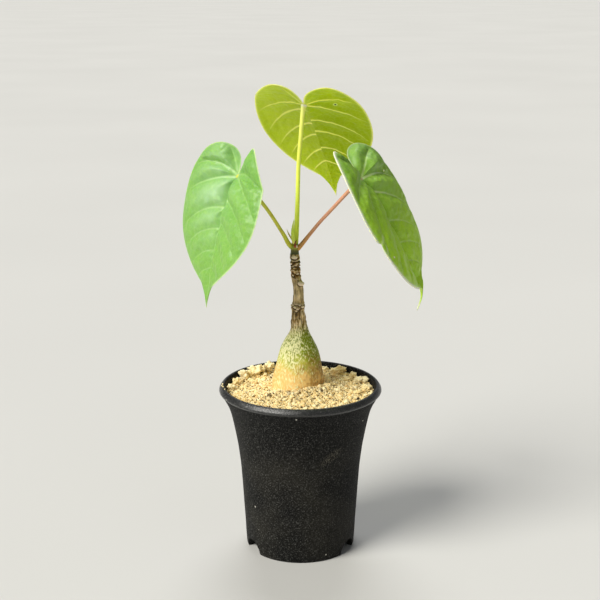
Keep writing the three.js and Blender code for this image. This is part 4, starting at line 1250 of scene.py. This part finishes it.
def blade_point(u, v, side, leaf):
    """The bent blade at flat u, v in mm: right, ahead and up from where the blade starts."""
    length = leaf["length"]
    half = 1 if side > 0 else 0
    ahead, behind = np.maximum(v, 0) / length, np.maximum(-v, 0) / length
    lobe = leaf["lobe_bend"] + leaf["lobe_skew"] * u / (np.abs(u) + SKEW_WIDTH)
    droop = np.radians(np.where(v > 0, leaf["droop"], lobe)) * v / length
    sweep = np.radians(leaf["sweep"]) * ahead
    twist = np.radians(leaf["twist"]) * v / length
    along, down = arc(droop)
    zero = np.zeros_like(v)
    middle = np.stack([v * arc(sweep)[1], v * along, -v * down], -1)
    forward = np.stack([zero, np.cos(droop), -np.sin(droop)], -1)
    normal = np.stack([zero, np.sin(droop), np.cos(droop)], -1)
    across = np.stack([np.cos(sweep), zero, zero], -1) - np.sin(sweep)[..., None] * forward
    c, s = np.cos(twist)[..., None], np.sin(twist)[..., None]
    across, normal = c * across + s * normal, c * normal - s * across
    beyond = np.maximum(v / length - TIP_SHIFT_FROM, 0) / (1 - TIP_SHIFT_FROM)
    fold = np.radians(leaf["fold"][half] + leaf["fold_change"] * ahead
                      + leaf["lobe_fold"][half] * behind)
    k = math.radians(leaf["curl"][half]) / CURL_WIDTH
    out = (np.sin(fold) - np.sin(fold - k * np.abs(u))) / k
    rise = (np.cos(fold - k * np.abs(u)) - np.cos(fold)) / k
    hook = leaf["hook"] * np.sin(math.pi * np.minimum(beyond, 1))
    sideways = side * out + leaf["tip_shift"] * beyond ** 2 - hook
    return middle + sideways[..., None] * across + (rise + hook)[..., None] * normal


def blade_normal(u, v, side, leaf, step=0.05):
    inner = np.maximum(0, np.abs(u) - step)
    du = (blade_point(side * (inner + 2 * step), v, side, leaf)
          - blade_point(side * inner, v, side, leaf)) * side
    dv = blade_point(u, v + step, side, leaf) - blade_point(u, v - step, side, leaf)
    return unit(np.cross(du, dv))


def leaf_axes(leaf):
    """Right, ahead and up of a leaf, as rows."""
    azimuth, dip, roll = (math.radians(leaf[key]) for key in ("azimuth", "dip", "roll"))
    ahead = np.array([math.cos(dip) * math.cos(azimuth), math.cos(dip) * math.sin(azimuth),
                      -math.sin(dip)])
    up = np.array([math.sin(dip) * math.cos(azimuth), math.sin(dip) * math.sin(azimuth),
                   math.cos(dip)])
    right = np.cross(ahead, up)
    c, s = math.cos(roll), math.sin(roll)
    return np.array([c * right + s * np.cross(ahead, right), ahead,
                     c * up + s * np.cross(ahead, up)])


def distance_to(points, path):
    """Distance of flat points to a path in mm, and the share of the path at the nearest."""
    best = np.full(len(points), 1e9)
    share = np.zeros(len(points))
    for i in range(len(path) - 1):
        a, step = path[i], path[i + 1] - path[i]
        t = np.clip((points - a) @ step / max(step @ step, 1e-12), 0, 1)
        away = np.linalg.norm(points - a - t[:, None] * step, axis=1)
        nearer = away < best
        best[nearer] = away[nearer]
        share[nearer] = (i + t[nearer]) / (len(path) - 1)
    return best, share


def midrib_marks(flat, leaf):
    """Ridge height below, how clearly it shows below and above, and distance from it."""
    length = leaf["length"]
    ahead = np.clip(flat[:, 1] / length, 0, 1)
    from_start = np.hypot(flat[:, 0], flat[:, 1])
    away = np.abs(flat[:, 0])
    width = 1.15 - 0.75 * ahead
    behind = np.clip(1 + flat[:, 1] / (0.04 * length), 0, 1)
    shown = (0.14 + 0.7 * bell(from_start, 9)) * behind * (1 - 0.6 * ahead)
    return {"ridge": (0.7 - 0.55 * ahead) * bell(away, width) * behind,
            "below": bell(away, 0.7 * width, 3) * (shown * leaf["rib"]),
            "above": bell(away, 0.5 * width, 3) * np.clip(0.8 - 1.6 * ahead, 0.22, 1),
            "nearest": np.where(flat[:, 1] > 0, away, np.hypot(away, flat[:, 1]))}


def add_side_veins(flat, side, leaf, marks):
    from_start = np.hypot(flat[:, 0], flat[:, 1])
    shown = leaf["vein_show"][side] * (0.25 + 0.45 * bell(from_start, 21))
    share_steps = np.linspace(0, 1, 30)[None, :]
    for order, (end, start, _) in enumerate(leaf["veins"][side]):
        path = flat_point(np.array([end]), share_steps, side, leaf)
        away, share = distance_to(flat, np.stack([path[0][0], path[1][0]], 1))
        strong = leaf["lobe_vein"][side] if order == 0 else 1.0
        fade = np.clip((0.98 - share) / 0.3, 0, 1) * strong
        width = leaf["vein_width"] * (1 - 0.65 * share) * (1 - 0.5 * start)
        line = bell(away, width, 4) * fade
        ridge = 0.35 * bell(away, width + 0.1) * fade
        for key, mark in (("ridge", ridge), ("below", line * (1 - 0.35 * share)),
                          ("above", line * shown)):
            marks[key] = np.maximum(marks[key], mark)
        marks["nearest"] = np.minimum(marks["nearest"], away + 2.5 * share ** 4)


def swelling(flat, side, leaf, nearest, margin):
    """How far the blade swells up, in mm: between its veins, in its bulges and softly at random."""
    from_start = np.hypot(flat[:, 0], flat[:, 1])
    swell = leaf["quilting"] * (0.4 + 1.3 * bell(from_start, 24))
    swell = swell * (1 - bell(nearest, 3.4)) * (1 - bell(margin, 3.0))
    for at_u, at_v, wide, high, rise in leaf.get("bulges", {}).get(side, []):
        swell += rise * np.exp(-((flat[:, 0] - at_u) / wide) ** 2
                               - ((flat[:, 1] - at_v) / high) ** 2)
    place = np.column_stack([flat, np.full(len(flat), 0.3)])
    soft = 0.5 * roughness_at(place, 4.2, 21) + 0.2 * roughness_at(place, 1.9, 22)
    return swell + soft * (1 - bell(margin, 4.0))


def relief(u, v, side, leaf):
    """What veins and rim do to a half blade: the midrib's marks with the side veins and slits
    in them, the distance from the rim and the swelling, each in the net's shape."""
    flat = np.stack([u.ravel(), v.ravel()], 1)
    marks = midrib_marks(flat, leaf)
    add_side_veins(flat, side, leaf, marks)
    rim = outline_point(np.linspace(0, 4, 220)) * (side * leaf["width"], 1) * leaf["length"]
    marks["margin"] = distance_to(flat, rim)[0]
    marks["swell"] = swelling(flat, side, leaf, marks["nearest"], marks["margin"])
    for slit in leaf.get("slits", {}).get(side, []):
        away = distance_to(flat, np.array(slit))[0]
        marks["above"] = np.maximum(marks["above"], bell(away, 0.55))
    return {key: mark.reshape(u.shape) for key, mark in marks.items()}


def bent_surface(u, v, side, leaf):
    """The bent blade and its normals, which both halves share along the midrib."""
    own = blade_normal(u, v, side, leaf)
    other = blade_normal(-u, v, -side, leaf)
    near = bell(u, 0.8)[..., None] * 0.5
    return blade_point(u, v, side, leaf), unit(own * (1 - near) + other * near)


def blade_rows(u, v, side, leaf, marks):
    """Rows of points over the upper face, round the rim and back over the lower face."""
    surface, normal = bent_surface(u, v, side, leaf)
    half = BLADE_THICKNESS / 2
    margin = marks["margin"]
    thin = half * (1 + (leaf["edge"] - 1) * bell(margin, 0.45))
    wave = 0.3 * np.exp(-margin / 5) * np.sin(v / 5.2 + side) * np.clip(np.abs(u) / 8, 0, 1)
    lift = marks["swell"] + wave
    ridge = marks["ridge"] * leaf["rib"]
    top = surface + normal * (lift + thin - 0.35 * ridge)[..., None]
    bottom = surface + normal * (lift - thin - ridge)[..., None]
    outward = unit(surface[:, -1] - surface[:, -4])
    outward[[0, -1]] = np.array([(0, -1, 0), (0, 1, 0)])
    rim = (top[:, -1] + bottom[:, -1]) / 2 + outward * half * leaf["edge"] * 0.8
    rows = np.concatenate([top, rim[:, None], bottom[:, ::-1]], 1)
    return rows @ leaf_axes(leaf) + np.array(leaf["at"])


def painted_sheen_on_leaf(u, v, side, leaf, nearest):
    """Painted sheen on the upper face, a painted highlight for the sky's reflection on the waxy
    skin: a broad patch, thickest between the veins, in soft clouds.
    """
    sheen_side, sheen_u, sheen_v, strength = leaf["waxy"]
    sheen_strength = strength * np.exp(-((v - sheen_v) / 23) ** 2 - ((u - sheen_u) / 15) ** 2)
    pillow = 1 - bell(nearest, 3.0)
    sheen_strength = sheen_strength * (0.35 + 0.65 * pillow) * (0.5 + 0.5 * (side == sheen_side))
    cloud = roughness_at(np.stack([u, 1.6 * v, 0 * u], -1), 5.0, 13)
    return sheen_strength * (0.85 + 0.4 * cloud)


def over_and_under(upper, lower):
    """Values in the order of a blade's rows: upper face, rim, lower face."""
    rim = (upper[:, -1:] + lower[:, -1:]) / 2
    return np.concatenate([upper, rim, lower[:, ::-1]], 1)


def half_blade(side, leaf):
    """Points, faces and named values of one half of a blade."""
    t = np.linspace(0, 1, BLADE_ROWS)
    t = (0.3 * t + 0.7 * (1 - np.cos(math.pi * t)) / 2)[None, :]
    u, v = flat_point(column_places(side, leaf), t, side, leaf)
    u[[0, -1]] = 0
    u[:, 0] = 0
    marks = relief(u, v, side, leaf)
    rows = blade_rows(u, v, side, leaf, marks)
    rim_width, rim_strength = leaf["rim"][side]
    margin = rim_strength * bell(marks["margin"], rim_width)
    sheen_strength = painted_sheen_on_leaf(u, v, side, leaf, marks["nearest"])
    flat = np.stack([u, v, 0 * u], 2) * MM
    values = {"flat": over_and_under(flat, flat).reshape(-1, 3),
              "vein": over_and_under(marks["above"], marks["below"]).ravel(),
              "margin": over_and_under(margin, margin).ravel(),
              "above": over_and_under(1 + 0 * u, 0 * u).ravel(),
              "wax": over_and_under(sheen_strength, 0 * u).ravel()}
    return rows.reshape(-1, 3), strip_faces(*rows.shape[:2], around=False), values


def make_blade(name, material):
    halves = [half_blade(side, LEAVES[name]) for side in (1, -1)]
    values = {key: np.concatenate([half[2][key] for half in halves]) for key in halves[0][2]}
    blade = make_piece(f"leaf_{name}_blade", joined([half[:2] for half in halves]), values,
                       weld=0.002, material=material)
    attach(blade, "root")
    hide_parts(f"leaf_{name}")


# Scene

def add_light(name, towards, spread, strength, colour):
    """A broad even light that shines from a direction; spread is how wide it looks, in degrees."""
    lamp = bpy.data.lights.new(name, "SUN")
    lamp.angle = math.radians(spread)
    lamp.energy = strength
    lamp.color = colour
    holder = put_in_scene(name, lamp)
    holder.location = towards
    holder.rotation_euler = (-Vector(towards)).to_track_quat("-Z", "Y").to_euler()


def make_camera():
    camera = bpy.data.cameras.new("photo_camera")
    camera.lens = CAMERA_LENS
    camera.sensor_width = SENSOR
    holder = put_in_scene("photo_camera", camera)
    holder.location = in_frame(CAMERA_PLACE)
    holder.rotation_euler = (math.radians(90 - CAMERA_PITCH), 0, 0)
    bpy.context.scene.camera = holder


def make_studio():
    half = FLOOR_REACH
    mesh = bpy.data.meshes.new("floor")
    mesh.from_pydata([(-half, -half, 0), (half, -half, 0), (half, half, 0), (-half, half, 0)],
                     [], [(0, 1, 2, 3)])
    mesh.materials.append(studio_paper())
    floor = put_in_scene("floor", mesh)
    world = bpy.data.worlds.new("soft_room")
    world.use_nodes = True
    world.node_tree.nodes["Background"].inputs["Color"].default_value = linear("#e9edf2")
    world.node_tree.nodes["Background"].inputs["Strength"].default_value = 0.15
    bpy.context.scene.world = world
    for light in LIGHTS:
        add_light(*light)
    bpy.context.scene.view_settings.view_transform = "Standard"


make_camera()
make_studio()
make_pot(pot_plastic())
make_mix()
make_stem(caudex_bark())
stalk_looks = {name: living_stalk(name, *look) for name, look in STALK_LOOKS.items()}
make_tip(stalk_looks)
for leaf_name, look_name in PETIOLE_LOOKS.items():
    make_petiole(leaf_name, stalk_looks[look_name])
for leaf_name, blade_look in BLADE_LOOKS.items():
    make_blade(leaf_name, leaf_blade(**blade_look))
